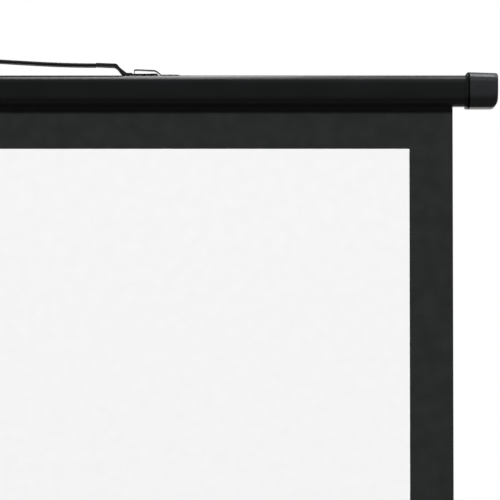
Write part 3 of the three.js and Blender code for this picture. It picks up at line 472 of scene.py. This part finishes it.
# Case: one wall, rolled over along both edges of its slot
CASE_CORNER = 9.5 * MM
CASE_WALL = 1.5 * MM
LIP_TURN = 59.6  # degrees of the lower front corner before the slot
SLOT_BACK = -5.1 * MM  # from the case's middle
BEAD_RADIUS = 1.2 * MM


def case_piece():
    """The case's wall with its slot, and a bead along each of the slot's edges."""
    bm = bmesh.new()
    half_depth = (case_high.y - case_low.y) / 2
    half_height = (case_high.z - case_low.z) / 2
    flat_y = half_depth - CASE_CORNER
    flat_z = half_height - CASE_CORNER
    x = case_low.x

    def at(y, z):
        return Vector((x, case_centre.y + y, case_centre.z + z))

    in_y = half_depth - CASE_WALL
    in_z = half_height - CASE_WALL
    inner = CASE_CORNER - CASE_WALL
    lip = math.radians(180 + LIP_TURN)
    inner_lip = at(inner * math.cos(lip) - flat_y, inner * math.sin(lip) - flat_z)
    outside = [
        at(flat_y, -half_height),
        (at(flat_y, -flat_z), 90),
        at(half_depth, flat_z),
        (at(flat_y, flat_z), 90),
        at(-flat_y, half_height),
        (at(-flat_y, flat_z), 90),
        at(-half_depth, -flat_z),
        (at(-flat_y, -flat_z), LIP_TURN),
    ]
    inside = [
        inner_lip,
        (at(-flat_y, -flat_z), -LIP_TURN),
        at(-in_y, flat_z),
        (at(-flat_y, flat_z), -90),
        at(flat_y, in_z),
        (at(flat_y, flat_z), -90),
        at(in_y, -flat_z),
        (at(flat_y, -flat_z), -90),
        at(SLOT_BACK, -in_z),
    ]
    face = traced_face(bm, at(SLOT_BACK, -half_height), outside + inside, X_AXIS)
    length = case_high.x - case_low.x
    extruded(bm, face, X_AXIS * length)
    wall_middle = CASE_CORNER - CASE_WALL / 2
    front = at(wall_middle * math.cos(lip) - flat_y, wall_middle * math.sin(lip) - flat_z)
    back = at(SLOT_BACK, BEAD_RADIUS - half_height)
    for bead in (front, back):
        middle = bead + X_AXIS * length / 2
        turn = Matrix.Translation(middle) @ Matrix.Rotation(QUARTER, 4, "Y")
        bmesh.ops.create_cone(
            bm, cap_ends=True, segments=BEAD_SEGMENTS, radius1=BEAD_RADIUS, radius2=BEAD_RADIUS,
            depth=length, matrix=turn,
        )
    finished(bm, "screen_case", ["case_shell"], case_coat)


# End caps: a moulded hood over the case's end with a rounded end, and a chamfered collar coated like the case
# at its mouth, with a shadow gap between the two whose floor is painted near-black as shade
CAP_FIT = 0.3 * MM  # from the case to the cap's pocket
CAP_LIP = 3.5 * MM
CAP_LIP_TOP = 3.5 * MM  # the chamfer's height on top
CAP_LIP_SIDE = 1 * MM
CAP_LIP_BOTTOM = 1.6 * MM
CAP_LIP_STEPS = [(0.3, 0.55), (0.65, 0.18)]  # shares of the lip's length, and of the chamfer left there
CAP_GROOVE = 1.9 * MM
CAP_GROOVE_DEPTH = 1.9 * MM  # on the front and the back only
CAP_GROOVE_EASE = 0.228 * MM
CAP_DRAFT = 1 * MM  # the top's fall towards the end
CAP_TOP_ROUND = 2.7 * MM
CAP_BOTTOM_ROUND = 8 * MM
CAP_BOTTOM_RISE = 11 * MM
CAP_SIDE_ROUND = 2.5 * MM
CAP_ROUND_STEPS = 12
CAP_SECTION_STEPS = 12  # along each corner of the section
CAP_SLANT_RISE = 10 * MM  # the flat slant along each lower edge, up the side
CAP_SLANT_RUN = 5 * MM  # and in from it
CAP_SLANT_EASE = 2.5 * MM


def carried(bm, face, x, half_width, top, bottom, centre, keep=False):
    """Extrudes a ring's face to x, to this half width and these heights over and under the centre."""
    made = bmesh.ops.extrude_face_region(bm, geom=[face], use_keep_orig=keep)
    end = next(f for f in made["geom"] if isinstance(f, bmesh.types.BMFace))
    verts = list(end.verts)
    tall = max(v.co.z for v in verts) - min(v.co.z for v in verts)
    wide = max(v.co.y for v in verts) - min(v.co.y for v in verts)
    now = Vector((verts[0].co.x, centre.y, min(v.co.z for v in verts) + tall / 2))
    then = Vector((x, centre.y, centre.z + (top - bottom) / 2))
    bmesh.ops.translate(bm, verts=verts, vec=-now)
    bmesh.ops.scale(bm, verts=verts, vec=(1, 2 * half_width / wide, (top + bottom) / tall))
    bmesh.ops.translate(bm, verts=verts, vec=then)
    return end


def rounded(to_end, radius):
    """How far an end's rounding has drawn the outline in, at this distance from the end."""
    return radius - math.sqrt(max(radius**2 - max(radius - to_end, 0) ** 2, 0))


def slanted(face, centre):
    """Changes the two lower corners of a section from a round to a flat slant with eased ends."""
    low = min(v.co.z for v in face.verts)
    half_width = max(v.co.y for v in face.verts) - centre.y
    start = Vector((0, CAP_SLANT_RISE))
    end = Vector((CAP_SLANT_RUN, 0))
    along = (end - start).normalized() * CAP_SLANT_EASE
    bends = [
        (start + Vector((0, CAP_SLANT_EASE)), start, start + along),
        (end - along, end, end + Vector((CAP_SLANT_EASE, 0))),
    ]
    points = []
    for first, turn, last in bends:
        points += [first.lerp(turn, t / 3).lerp(turn.lerp(last, t / 3), t / 3) for t in range(4)]
    flat_steps = CAP_SECTION_STEPS + 1 - len(points)
    flat = [points[3].lerp(points[4], (i + 1) / (flat_steps + 1)) for i in range(flat_steps)]
    points = points[:4] + flat + points[4:]
    for side in (-1, 1):
        corner = [v for v in face.verts if (v.co.y - centre.y) * side > 0]
        corner = sorted(corner, key=lambda v: v.co.z)[: len(points)]
        for vert, (inward, up) in zip(reversed(corner), points):
            vert.co.y = centre.y + side * (half_width - inward)
            vert.co.z = low + up


def cap_piece(node, name, side):
    """A cap, from the end of its pocket to its mouth, and on the outside over the gap to its rounded end."""
    low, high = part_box(node)
    centre = (low + high) / 2
    wide = (high.y - low.y) / 2
    tall = (high.z - low.z) / 2
    mouth = low.x if side > 0 else high.x
    end = high.x if side > 0 else low.x
    pocket_end = side * (case_high.x + CAP_FIT)
    pocket_wide = (case_high.y - case_low.y) / 2 + CAP_FIT
    pocket_top = case_high.z + CAP_FIT - centre.z
    pocket_bottom = centre.z - case_low.z + CAP_FIT
    pocket_tall = (pocket_top + pocket_bottom) / 2
    bm = bmesh.new()
    bmesh.ops.create_grid(bm, x_segments=1, y_segments=1, size=1)
    bmesh.ops.scale(bm, vec=(pocket_tall, pocket_wide, 1), verts=bm.verts)
    bmesh.ops.rotate(bm, verts=bm.verts, cent=(0, 0, 0), matrix=Matrix.Rotation(QUARTER, 3, "Y"))
    bmesh.ops.bevel(
        bm, geom=bm.verts[:], offset=CASE_CORNER + CAP_FIT, segments=CAP_SECTION_STEPS, profile=0.5,
        affect="VERTICES", material=-1,
    )
    bmesh.ops.translate(bm, verts=bm.verts, vec=(pocket_end, centre.y, case_centre.z))
    bm.faces.ensure_lookup_table()
    face = carried(bm, bm.faces[0], mouth, pocket_wide, pocket_top, pocket_bottom, centre, keep=True)
    lip_end = mouth + side * CAP_LIP
    groove_end = lip_end + side * CAP_GROOVE
    ease = side * CAP_GROOVE_EASE
    lip_wide = wide - CAP_LIP_SIDE
    low_wide = wide - CAP_GROOVE_DEPTH
    rings = [(mouth, lip_wide, tall - CAP_LIP_TOP, tall - CAP_LIP_BOTTOM)]
    for run, left in CAP_LIP_STEPS:
        rings.append((mouth + side * run * CAP_LIP, lip_wide, tall - left * CAP_LIP_TOP, tall))
    rings += [
        (lip_end - ease, lip_wide, tall, tall),
        (lip_end, low_wide, tall, tall),
        (groove_end - ease, low_wide, tall, tall),
        (groove_end, wide - ease, tall, tall),
        (groove_end + side * ease, wide, tall, tall),
    ]
    for step in range(CAP_ROUND_STEPS + 1):
        to_end = CAP_BOTTOM_ROUND * (1 - math.sin(QUARTER * step / CAP_ROUND_STEPS))
        draft = CAP_DRAFT * (1 - to_end / abs(end - groove_end))
        top = tall - draft - rounded(to_end, CAP_TOP_ROUND)
        bottom = tall - rounded(to_end, CAP_BOTTOM_ROUND) * CAP_BOTTOM_RISE / CAP_BOTTOM_ROUND
        rings.append((end - side * to_end, wide - rounded(to_end, CAP_SIDE_ROUND), top, bottom))
    for x, half_width, top, bottom in rings:
        face = carried(bm, face, x, half_width, top, bottom, centre)
        if x == mouth:
            slanted(face, centre)
    bmesh.ops.recalc_face_normals(bm, faces=bm.faces)
    # the collar takes the case's coat, and the gap's floor takes the near-black painted shade
    for face in bm.faces:
        along = abs(face.calc_center_median().x)
        face.material_index = 1 if along < abs(lip_end) else 2 if along < abs(groove_end) - abs(ease) else 0
    finished(bm, name, [node], cap_abs, case_coat, gap_shade, sharp=40)


# Carrying handle, on the case's top. Heights are over the case's top.
handle_base = Vector((0, case_centre.y, case_high.z))
GRIP_HALF_LENGTH = 146.3 * MM
GRIP_WIDTH = 20 * MM
GRIP_THICKNESS = 3.7 * MM
GRIP_EDGE = 1.6 * MM
CORE_WIDTH = 13 * MM
CORE_THICKNESS = 1 * MM
CORE_GAP = 0.3 * MM
BOW_MIDDLE = 18.4 * MM
BOW_END = 12.3 * MM
BOW_POWER = 1.35
BOW_STEPS = 40
STRAP_WIDTH = 18 * MM
TONGUE_WIDTH = 8 * MM
TONGUE_HEAD_WIDTH = 13 * MM
TONGUE_HEAD_LENGTH = 8 * MM


def section(bm, x, z, width, height, corner, segments=6):
    """A rounded rectangle across X on the handle's middle line."""
    made = bmesh.ops.create_grid(bm, x_segments=1, y_segments=1, size=0.5)
    verts = made["verts"]
    bmesh.ops.scale(bm, verts=verts, vec=(height, width, 1))
    bmesh.ops.rotate(bm, verts=verts, cent=(0, 0, 0), matrix=Matrix.Rotation(QUARTER, 3, "Y"))
    bmesh.ops.translate(bm, verts=verts, vec=handle_base + Vector((x, 0, z)))
    if corner:
        made = bmesh.ops.bevel(
            bm, geom=verts, offset=corner, segments=segments, profile=0.5, affect="VERTICES", material=-1
        )
        verts = made["verts"]
    return next(f for f in verts[0].link_faces if len(f.verts) == len(verts))


def bow(x):
    """The height of the handle's middle line."""
    run = min(abs(x) / GRIP_HALF_LENGTH, 1)
    return BOW_MIDDLE - (BOW_MIDDLE - BOW_END) * math.sin(run * QUARTER) ** BOW_POWER


def drawn_along_bow(bm, faces, half_length):
    """Extrudes a section from the bow's left end to its right end."""
    step = 2 * half_length / BOW_STEPS
    for i in range(BOW_STEPS):
        x = i * step - half_length
        made = bmesh.ops.extrude_face_region(bm, geom=faces, use_keep_orig=i == 0)
        faces = [f for f in made["geom"] if isinstance(f, bmesh.types.BMFace)]
        verts = [v for v in made["geom"] if isinstance(v, bmesh.types.BMVert)]
        bmesh.ops.translate(bm, verts=verts, vec=(step, 0, bow(x + step) - bow(x)))
    bmesh.ops.recalc_face_normals(bm, faces=bm.faces)


def grip_piece():
    """The moulded grip, open along its middle for the strap's core."""
    bm = bmesh.new()
    z = bow(GRIP_HALF_LENGTH)
    outer = section(bm, -GRIP_HALF_LENGTH, z, GRIP_WIDTH, GRIP_THICKNESS, GRIP_EDGE)
    channel_width = CORE_WIDTH + 2 * CORE_GAP
    channel_height = CORE_THICKNESS + 2 * CORE_GAP
    inner = section(bm, -GRIP_HALF_LENGTH, z, channel_width, channel_height, CORE_GAP)
    bmesh.ops.delete(bm, geom=[outer, inner], context="FACES_ONLY")
    made = bmesh.ops.bridge_loops(bm, edges=bm.edges)
    drawn_along_bow(bm, made["faces"], GRIP_HALF_LENGTH)
    finished(bm, "carrying_grip", ["handle_grip"], strap_pvc)


def bar_along_y(bm, points, half_width):
    """A flat bar across the handle whose side view runs through these (X, height) points in mm."""
    at = [handle_base + Vector((x * MM, -half_width, z * MM)) for x, z in points]
    extruded(bm, traced_face(bm, at[0], at[1:], Y_AXIS), Y_AXIS * 2 * half_width)


# Side views of the handle's parts are (X, height) in mm. Here a strap's end outside the grip, bent down on to
# the case, and the tongue that goes on under the keeper
STRAP_END = [
    (146.6, 10.9),
    (146.6, 14.7),
    (168.6, 13.9),
    (170.9, 13.3),
    (174.3, 9.2),
    (177.8, 6.3),
    (181.4, 3.5),
    (183.4, 3.1),
    (188.4, 3.1),
    (188.4, 0.3),
    (177.2, 0.3),
    (174.2, 3.7),
    (170.9, 8.0),
    (167.6, 10.0),
]
TONGUE = [(187, 0.4), (187, 2.6), (217.2, 2.6), (218.8, 0.4)]


def strap_piece():
    """The strap's core in the grip, and on each side its bent end and the tongue under the keeper."""
    bm = bmesh.new()
    core_end = GRIP_HALF_LENGTH + CORE_THICKNESS
    core = section(bm, -core_end, bow(GRIP_HALF_LENGTH), CORE_WIDTH, CORE_THICKNESS, 0)
    drawn_along_bow(bm, [core], core_end)
    head_start = TONGUE[2][0] - TONGUE_HEAD_LENGTH / MM
    tongue_head = [(head_start, TONGUE[0][1]), (head_start, TONGUE[1][1]), *TONGUE[2:]]
    for side in (-1, 1):
        bar_along_y(bm, [(side * x, z) for x, z in STRAP_END], STRAP_WIDTH / 2)
        bar_along_y(bm, [(side * x, z) for x, z in TONGUE], TONGUE_WIDTH / 2)
        bar_along_y(bm, [(side * x, z) for x, z in tongue_head], TONGUE_HEAD_WIDTH / 2)
    ease_edges(finished(bm, "carrying_strap", ["handle_strip"], strap_pvc), 0.9, 3)


# Keepers: a sheet bridge that slopes down to a rounded foot, with a thin leg at each inner corner
KEEPER_TOP = [
    (190.4, 6.6),
    (191.3, 7.4),
    (195, 7.5),
    (204, 7.1),
    (214.2, 6.6),
    (216.6, 5.6),
    (219.2, 3.7),
    (221.9, 1.25),
]
KEEPER_SLOPE_START = KEEPER_TOP[4][1]
KEEPER_SLOPE_SHIFT = 0.35  # share of the sheet's thickness that the underside stands further in on the slope
KEEPER_FOOT_ROUND = 0.98  # share of the foot's half width
KEEPER_END = 243.4  # mm, as the rest of the side view
KEEPER_FOOT_TOP = 1.25
KEEPER_SHEET = 0.9
KEEPER_LEG = 0.5
KEEPER_LEG_WIDTH = 1.5
KEEPER_WIDTH = 12 * MM
RIVET_X = 231.9  # mm
RIVET_RADIUS = 3.5 * MM
RIVET_HEIGHT = 0.5 * MM
RIVET_TAPER = 0.8
RIVET_SEGMENTS = 28


def keeper_piece(node, name, side):
    """A keeper: its bent sheet, a leg at each inner corner and the rivet's head."""
    bm = bmesh.new()
    low = KEEPER_FOOT_TOP - KEEPER_SHEET
    shift = KEEPER_SLOPE_SHIFT * KEEPER_SHEET
    under = [(x - shift * (z < KEEPER_SLOPE_START), z - KEEPER_SHEET) for x, z in KEEPER_TOP]
    sheet = KEEPER_TOP + [(KEEPER_END, KEEPER_FOOT_TOP), (KEEPER_END, low)] + under[::-1]
    bar_along_y(bm, [(side * x, z) for x, z in sheet], KEEPER_WIDTH / 2)
    foot_end = handle_base.x + side * KEEPER_END * MM
    corners = []
    for edge in bm.edges:
        first, second = edge.verts
        at_end = all(abs(v.co.x - foot_end) < MERGE for v in edge.verts)
        if at_end and abs(first.co.y - second.co.y) < MERGE:
            corners.append(edge)
    bmesh.ops.bevel(
        bm, geom=corners, offset=KEEPER_FOOT_ROUND * KEEPER_WIDTH / 2, segments=10, profile=0.5,
        affect="EDGES", material=-1,
    )
    leg_x, leg_top = KEEPER_TOP[0]
    leg = [(leg_x, low), (leg_x, leg_top), (leg_x + KEEPER_LEG, leg_top), (leg_x + KEEPER_LEG, low)]
    for edge in (-1, 1):
        before = set(bm.verts)
        bar_along_y(bm, [(side * x, z) for x, z in leg], KEEPER_LEG_WIDTH / 2 * MM)
        moved = [v for v in bm.verts if v not in before]
        bmesh.ops.translate(bm, verts=moved, vec=(0, edge * (KEEPER_WIDTH - KEEPER_LEG_WIDTH * MM) / 2, 0))
    head_low = handle_base.z + low * MM
    head_high = handle_base.z + KEEPER_FOOT_TOP * MM + RIVET_HEIGHT
    head = Vector((side * RIVET_X * MM, handle_base.y, (head_low + head_high) / 2))
    bmesh.ops.create_cone(
        bm, cap_ends=True, segments=RIVET_SEGMENTS, radius1=RIVET_RADIUS, radius2=RIVET_TAPER * RIVET_RADIUS,
        depth=head_high - head_low, matrix=Matrix.Translation(head),
    )
    ease_edges(finished(bm, name, [node], sheet_enamel), 0.2)


# Screen cloth: one sheet from the roller down into the bar, its edge and back coated black
CLOTH_COLUMNS = 24
CLOTH_ROWS = 20


def cloth_piece():
    """The sheet, cut along the picture's edges so that the white coating ends there."""
    bm = bmesh.new()
    width = cloth_high.x - cloth_low.x
    height = cloth_high.z - cloth_low.z
    thickness = cloth_high.y - cloth_low.y
    made = bmesh.ops.create_grid(bm, x_segments=CLOTH_COLUMNS, y_segments=CLOTH_ROWS, size=0.5)
    bmesh.ops.scale(bm, vec=(width, height, 1), verts=made["verts"])
    bmesh.ops.transform(bm, matrix=Matrix.Rotation(QUARTER, 4, "X"), verts=bm.verts)
    middle = Vector((0, cloth_low.y, (cloth_low.z + cloth_high.z) / 2))
    bmesh.ops.translate(bm, verts=bm.verts, vec=middle)
    picture_edges = [
        (Vector((picture_low.x, 0, 0)), X_AXIS),
        (Vector((picture_high.x, 0, 0)), X_AXIS),
        (Vector((0, 0, picture_low.z)), Z_AXIS),
        (Vector((0, 0, picture_high.z)), Z_AXIS),
    ]
    for point, normal in picture_edges:
        everything = bm.verts[:] + bm.edges[:] + bm.faces[:]
        bmesh.ops.bisect_plane(bm, geom=everything, plane_co=point, plane_no=normal)
    front = bm.faces[:]
    made = bmesh.ops.extrude_face_region(bm, geom=front, use_keep_orig=True)
    back = [v for v in made["geom"] if isinstance(v, bmesh.types.BMVert)]
    bmesh.ops.translate(bm, verts=back, vec=Y_AXIS * thickness)
    bmesh.ops.recalc_face_normals(bm, faces=bm.faces)
    sheet_map = bm.loops.layers.uv.new("sheet")
    for face in bm.faces:
        centre = face.calc_center_median()
        inside_x = picture_low.x < centre.x < picture_high.x
        inside_z = picture_low.z < centre.z < picture_high.z
        face.material_index = 0 if inside_x and inside_z and face.normal.y < -0.5 else 1
        for loop in face.loops:
            loop[sheet_map].uv = (loop.vert.co.x, loop.vert.co.z)
    piece = finished(bm, "screen_cloth", ["picture_cloth", "border_cloth"], white_coating, black_coating)
    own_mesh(piece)


# Round pieces
TUBE_WALL = 1.2 * MM
TUBE_EASE = 0.35 * MM
TUBE_SEGMENTS = 56


def tube_piece(node, name):
    """A tube along Z with eased ends."""
    low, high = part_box(node)
    radius = (high.x - low.x) / 2
    centre = Vector(((low.x + high.x) / 2, (low.y + high.y) / 2, 0))
    inner = radius - TUBE_WALL
    profile = [
        (inner, low.z),
        (radius - TUBE_EASE, low.z),
        (radius, low.z + TUBE_EASE),
        (radius, high.z - TUBE_EASE),
        (radius - TUBE_EASE, high.z),
        (inner, high.z),
    ]
    bm = bmesh.new()
    turned_ring(bm, profile, centre, Z_AXIS, TUBE_SEGMENTS)
    finished(bm, name, [node], tube_enamel)


KNOB_RADIUS = 14 * MM
KNOB_THICKNESS = 9 * MM
KNOB_LOBES = 5
KNOB_LOBE_SHARE = 0.09
KNOB_EDGE = 2.2 * MM
KNOB_NECK_RADIUS = 7 * MM
KNOB_NECK = 4 * MM
KNOB_SCREW_RADIUS = 3 * MM
KNOB_AZIMUTH = math.radians(30)
KNOB_LOBE_STEPS = 24
KNOB_EDGE_STEPS = 5
KNOB_STEM_SEGMENTS = 40


def knob_piece(node, name):
    """A clamp's moulded knob: five smooth lobes, a neck and a screw that points at the mast."""
    low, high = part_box(node)
    outwards = Vector((math.cos(KNOB_AZIMUTH), math.sin(KNOB_AZIMUTH), 0))
    start = Vector(((mast_low.x + mast_high.x) / 2, mast_y, low.z + KNOB_RADIUS))
    along = [(v.co - start).dot(outwards) for v in nodes[node].data.vertices]
    tip = min(along)
    end = max(along)
    bm = bmesh.new()
    steps = KNOB_LOBE_STEPS * KNOB_LOBES
    made = bmesh.ops.create_circle(bm, cap_ends=True, segments=steps, radius=KNOB_RADIUS)
    for v in made["verts"]:
        turn = math.atan2(v.co.y, -v.co.x)  # one lobe hangs straight down
        v.co *= 1 - KNOB_LOBE_SHARE * (1 - math.cos(KNOB_LOBES * turn))
    bm.faces.ensure_lookup_table()
    extruded(bm, bm.faces[0], Z_AXIS * KNOB_THICKNESS)
    rims = [e for e in bm.edges if abs(e.verts[0].co.z - e.verts[1].co.z) < MERGE]
    bmesh.ops.bevel(
        bm, geom=rims, offset=KNOB_EDGE, segments=KNOB_EDGE_STEPS, profile=0.5, affect="EDGES",
        material=-1, clamp_overlap=True,
    )
    bmesh.ops.translate(bm, verts=bm.verts, vec=(0, 0, end - KNOB_THICKNESS))
    parts = [
        (KNOB_NECK_RADIUS, end - KNOB_THICKNESS - KNOB_NECK, end - KNOB_THICKNESS + KNOB_EDGE),
        (KNOB_SCREW_RADIUS, tip, end - KNOB_THICKNESS),
    ]
    for radius, first, last in parts:
        bmesh.ops.create_cone(
            bm, cap_ends=True, segments=KNOB_STEM_SEGMENTS, radius1=radius, radius2=radius,
            depth=last - first, matrix=Matrix.Translation((0, 0, (first + last) / 2)),
        )
    bmesh.ops.recalc_face_normals(bm, faces=bm.faces)
    turn = outwards.to_track_quat("Z", "X").to_matrix().to_4x4()
    bmesh.ops.transform(bm, matrix=Matrix.Translation(start) @ turn, verts=bm.verts)
    finished(bm, name, [node], nylon)


# The wire bail under the bar
BAIL_WIRE_RADIUS = 2 * MM
BAIL_END = 29.2 * MM  # from the middle, inside the bracket's ears
BAIL_HALF_WIDTH = 38 * MM
BAIL_FOOT_HALF_WIDTH = 26 * MM
BAIL_LENGTH = 60 * MM
BAIL_BEND = 7 * MM
BAIL_SECTION_STEPS = 6
BAIL_BEND_STEPS = 10


def bail_piece():
    """A round wire bent to a loop, with its ends turned in through the bracket's ears."""
    low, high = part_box("bail")
    axis = Vector((0, (low.y + high.y) / 2, high.z - BAIL_WIRE_RADIUS))
    corners = [
        (-BAIL_END, 0),
        (-BAIL_HALF_WIDTH, 0),
        (-BAIL_FOOT_HALF_WIDTH, -BAIL_LENGTH),
        (BAIL_FOOT_HALF_WIDTH, -BAIL_LENGTH),
        (BAIL_HALF_WIDTH, 0),
        (BAIL_END, 0),
    ]
    at = [axis + Vector((x, 0, z)) for x, z in corners]
    bends = [0, BAIL_BEND / 2, BAIL_BEND, BAIL_BEND, BAIL_BEND / 2, 0]
    stops = [(at[0], at[0], at[0])]
    for i in range(1, len(at) - 1):
        before = at[i] + (at[i - 1] - at[i]).normalized() * bends[i]
        after = at[i] + (at[i + 1] - at[i]).normalized() * bends[i]
        stops.append((before, before, before.lerp(at[i], 2 / 3)))
        stops.append((after, after.lerp(at[i], 2 / 3), after))
    stops.append((at[-1], at[-1], at[-1]))
    wire = bpy.data.curves.new("bar_bail", "CURVE")
    wire.dimensions = "3D"
    wire.bevel_depth = BAIL_WIRE_RADIUS
    wire.bevel_resolution = BAIL_SECTION_STEPS
    wire.use_fill_caps = True
    spline = wire.splines.new("BEZIER")
    spline.resolution_u = BAIL_BEND_STEPS
    spline.bezier_points.add(len(stops) - 1)
    for point, (place, left, right) in zip(spline.bezier_points, stops):
        point.co = place
        point.handle_left = left
        point.handle_right = right
    wire.materials.append(zinc)
    piece = bpy.data.objects.new("bar_bail", wire)
    bpy.context.scene.collection.objects.link(piece)
    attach(piece, body_of_node["bail"])
    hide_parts("bail")


case_piece()
cap_piece("end_cap_right", "case_hood_right", 1)
cap_piece("end_cap_left", "case_hood_left", -1)
cloth_piece()
for tube in ("lower_tube", "middle_tube", "top_tube"):
    tube_piece(tube, "mast_" + tube)

grip_piece()
strap_piece()
keeper_piece("keeper_right", "strap_keeper_right", 1)
keeper_piece("keeper_left", "strap_keeper_left", -1)
bail_piece()
knob_piece("lower_knob", "lower_clamp_knob")
knob_piece("upper_knob", "upper_clamp_knob")
knob_piece("collar_knob", "brace_collar_knob")
eased("lock_knob", "case_lock_knob", nylon, 0.8, 3)
eased("bar_cap_right", "weight_bar_cap_right", cap_abs, 1.2, 3)
eased("bar_cap_left", "weight_bar_cap_left", cap_abs, 1.2, 3)
eased("lower_clamp", "mast_lower_clamp", nylon, 0.5)
eased("upper_clamp", "mast_upper_clamp", nylon, 0.5)
eased("head_bracket", "case_bracket", nylon, 1.0)
eased("leg_hub", "tripod_hub", nylon, 0.6)
eased("brace_collar", "tripod_collar", nylon, 0.5)
eased("pivot_plate", "case_pivot_plate", sheet_enamel, 0.3)
eased("bail_bracket", "bar_bail_bracket", sheet_enamel, 0.3)
eased("bottom_bar", "weight_bar", bar_anodised, 0.2)
for side in ("back", "right", "left"):
    eased("leg_" + side, "tripod_leg_" + side, tube_enamel, 0.3)
    eased("brace_" + side, "tripod_brace_" + side, tube_enamel, 0.25)
    eased("foot_" + side, "tripod_shoe_" + side, rubber, 1.0)

carried_over = {
    "middle_bush": nylon,
    "top_bush": nylon,
    "tube_plug": rubber,
    "pivot_washer": zinc,
    "roller_bracket_right": zinc,
    "roller_bracket_left": zinc,
    "spring_shaft": zinc,
    "ratchet_wheel": zinc,
    "ratchet_pawl": zinc,
    "roller_tube": mill_aluminium,
    "cloth_roll": black_coating,
    "idle_plug": nylon,
    "drive_plug": nylon,
    "torsion_spring": spring_steel,
    "hem_rod": white_coating,
}
for leg in ("back", "right", "left"):
    carried_over["leg_pin_" + leg] = zinc
    carried_over["brace_pin_" + leg] = zinc
for node, material in carried_over.items():
    mesh = nodes[node].data
    mesh.materials.clear()
    mesh.materials.append(material)
    mesh.shade_smooth()
    mesh.set_sharp_from_angle(angle=math.radians(SHARP_ANGLE))


# Studio
def stood(lamp, place, towards, glossy, diffuse=True):
    """Stands a lamp in a place, turned towards another, where the camera doesn't see it."""
    stand = bpy.data.objects.new(lamp.name, lamp)
    stand.location = place
    stand.rotation_mode = "QUATERNION"
    stand.rotation_quaternion = (Vector(towards) - Vector(place)).to_track_quat("-Z", "Y")
    stand.visible_camera = False
    stand.visible_glossy = glossy
    stand.visible_diffuse = diffuse
    bpy.context.scene.collection.objects.link(stand)


def softbox(name, place, towards, size, power, glossy=True, diffuse=True):
    """A rectangular lamp."""
    lamp = bpy.data.lights.new(name, "AREA")
    lamp.shape = "RECTANGLE"
    lamp.size, lamp.size_y = size
    lamp.energy = power
    stood(lamp, place, towards, glossy, diffuse)


# The softboxes over the case and in front of it are only mirrored, and the other lamps only light
key = bpy.data.lights.new("key", "SUN")
key.energy = 7.0
key.angle = math.radians(5)
stood(key, (-1.0, -5.0, 14.0), (0, 0, 1.7), glossy=False)
softbox("overhead_softbox", (0.09, -0.44, 3.9), (0.09, -0.44, 1.9), (0.44, 1.24), 52, diffuse=False)
softbox("hair_softbox", (0.25, 0.75, 3.9), (0.25, 0.75, 1.9), (0.22, 1.1), 24, diffuse=False)
softbox("right_softbox", (1.03, -0.44, 3.9), (1.03, -0.44, 1.9), (0.6, 1.24), 63, diffuse=False)
softbox("top_fill", (0.1, -0.6, 4.4), (0.1, -0.5, 1.4), (3.0, 1.2), 30, glossy=False)
softbox("front_softbox", (1.15, -2.4, 3.1), (0.5, -0.1, 1.9), (0.9, 0.9), 10, diffuse=False)
softbox("rear_softbox", (1.2, 3.6, 3.2), (0, 0, 1.0), (2.4, 1.8), 150, glossy=False)


WORLD_LIGHT = 0.1
WORLD_SHOWN = 1.0  # white, to the camera and in reflections
FLOOR_HALF_SIZE = 60

world = bpy.data.worlds.new("studio")
world.use_nodes = True
bpy.context.scene.world = world
sky = world.node_tree
path = add_node(sky, "ShaderNodeLightPath")
seen = combined(sky, "MAXIMUM", path.outputs["Is Camera Ray"], path.outputs["Is Glossy Ray"])
shown = combined(sky, "MAXIMUM", seen, path.outputs["Is Transmission Ray"])
level = add_node(
    sky,
    "ShaderNodeMapRange",
    values={"To Min": WORLD_LIGHT, "To Max": WORLD_SHOWN},
    links={"Value": shown},
)
sky.nodes["Background"].inputs["Color"].default_value = (1, 1, 1, 1)
sky.links.new(level.outputs["Result"], sky.nodes["Background"].inputs["Strength"])

floor_mesh = bmesh.new()
bmesh.ops.create_grid(floor_mesh, x_segments=1, y_segments=1, size=FLOOR_HALF_SIZE)
floor_data = bpy.data.meshes.new("floor")
floor_mesh.to_mesh(floor_data)
floor_mesh.free()
floor_paint, floor_tree, floor_shader, floor_place = shaded("pale_floor_paint", 0.7)
floor_cloud = noise(floor_tree, 400, 3, floor_place)
vary_colour(floor_tree, floor_shader, floor_cloud, "9b9b98", "9d9d9a")
floor_data.materials.append(floor_paint)
floor = bpy.data.objects.new("floor", floor_data)
floor.visible_diffuse = False  # no light comes up from it, so the case's shadow on the cloth stays deep
bpy.context.scene.collection.objects.link(floor)

bpy.context.scene.view_settings.view_transform = "Standard"
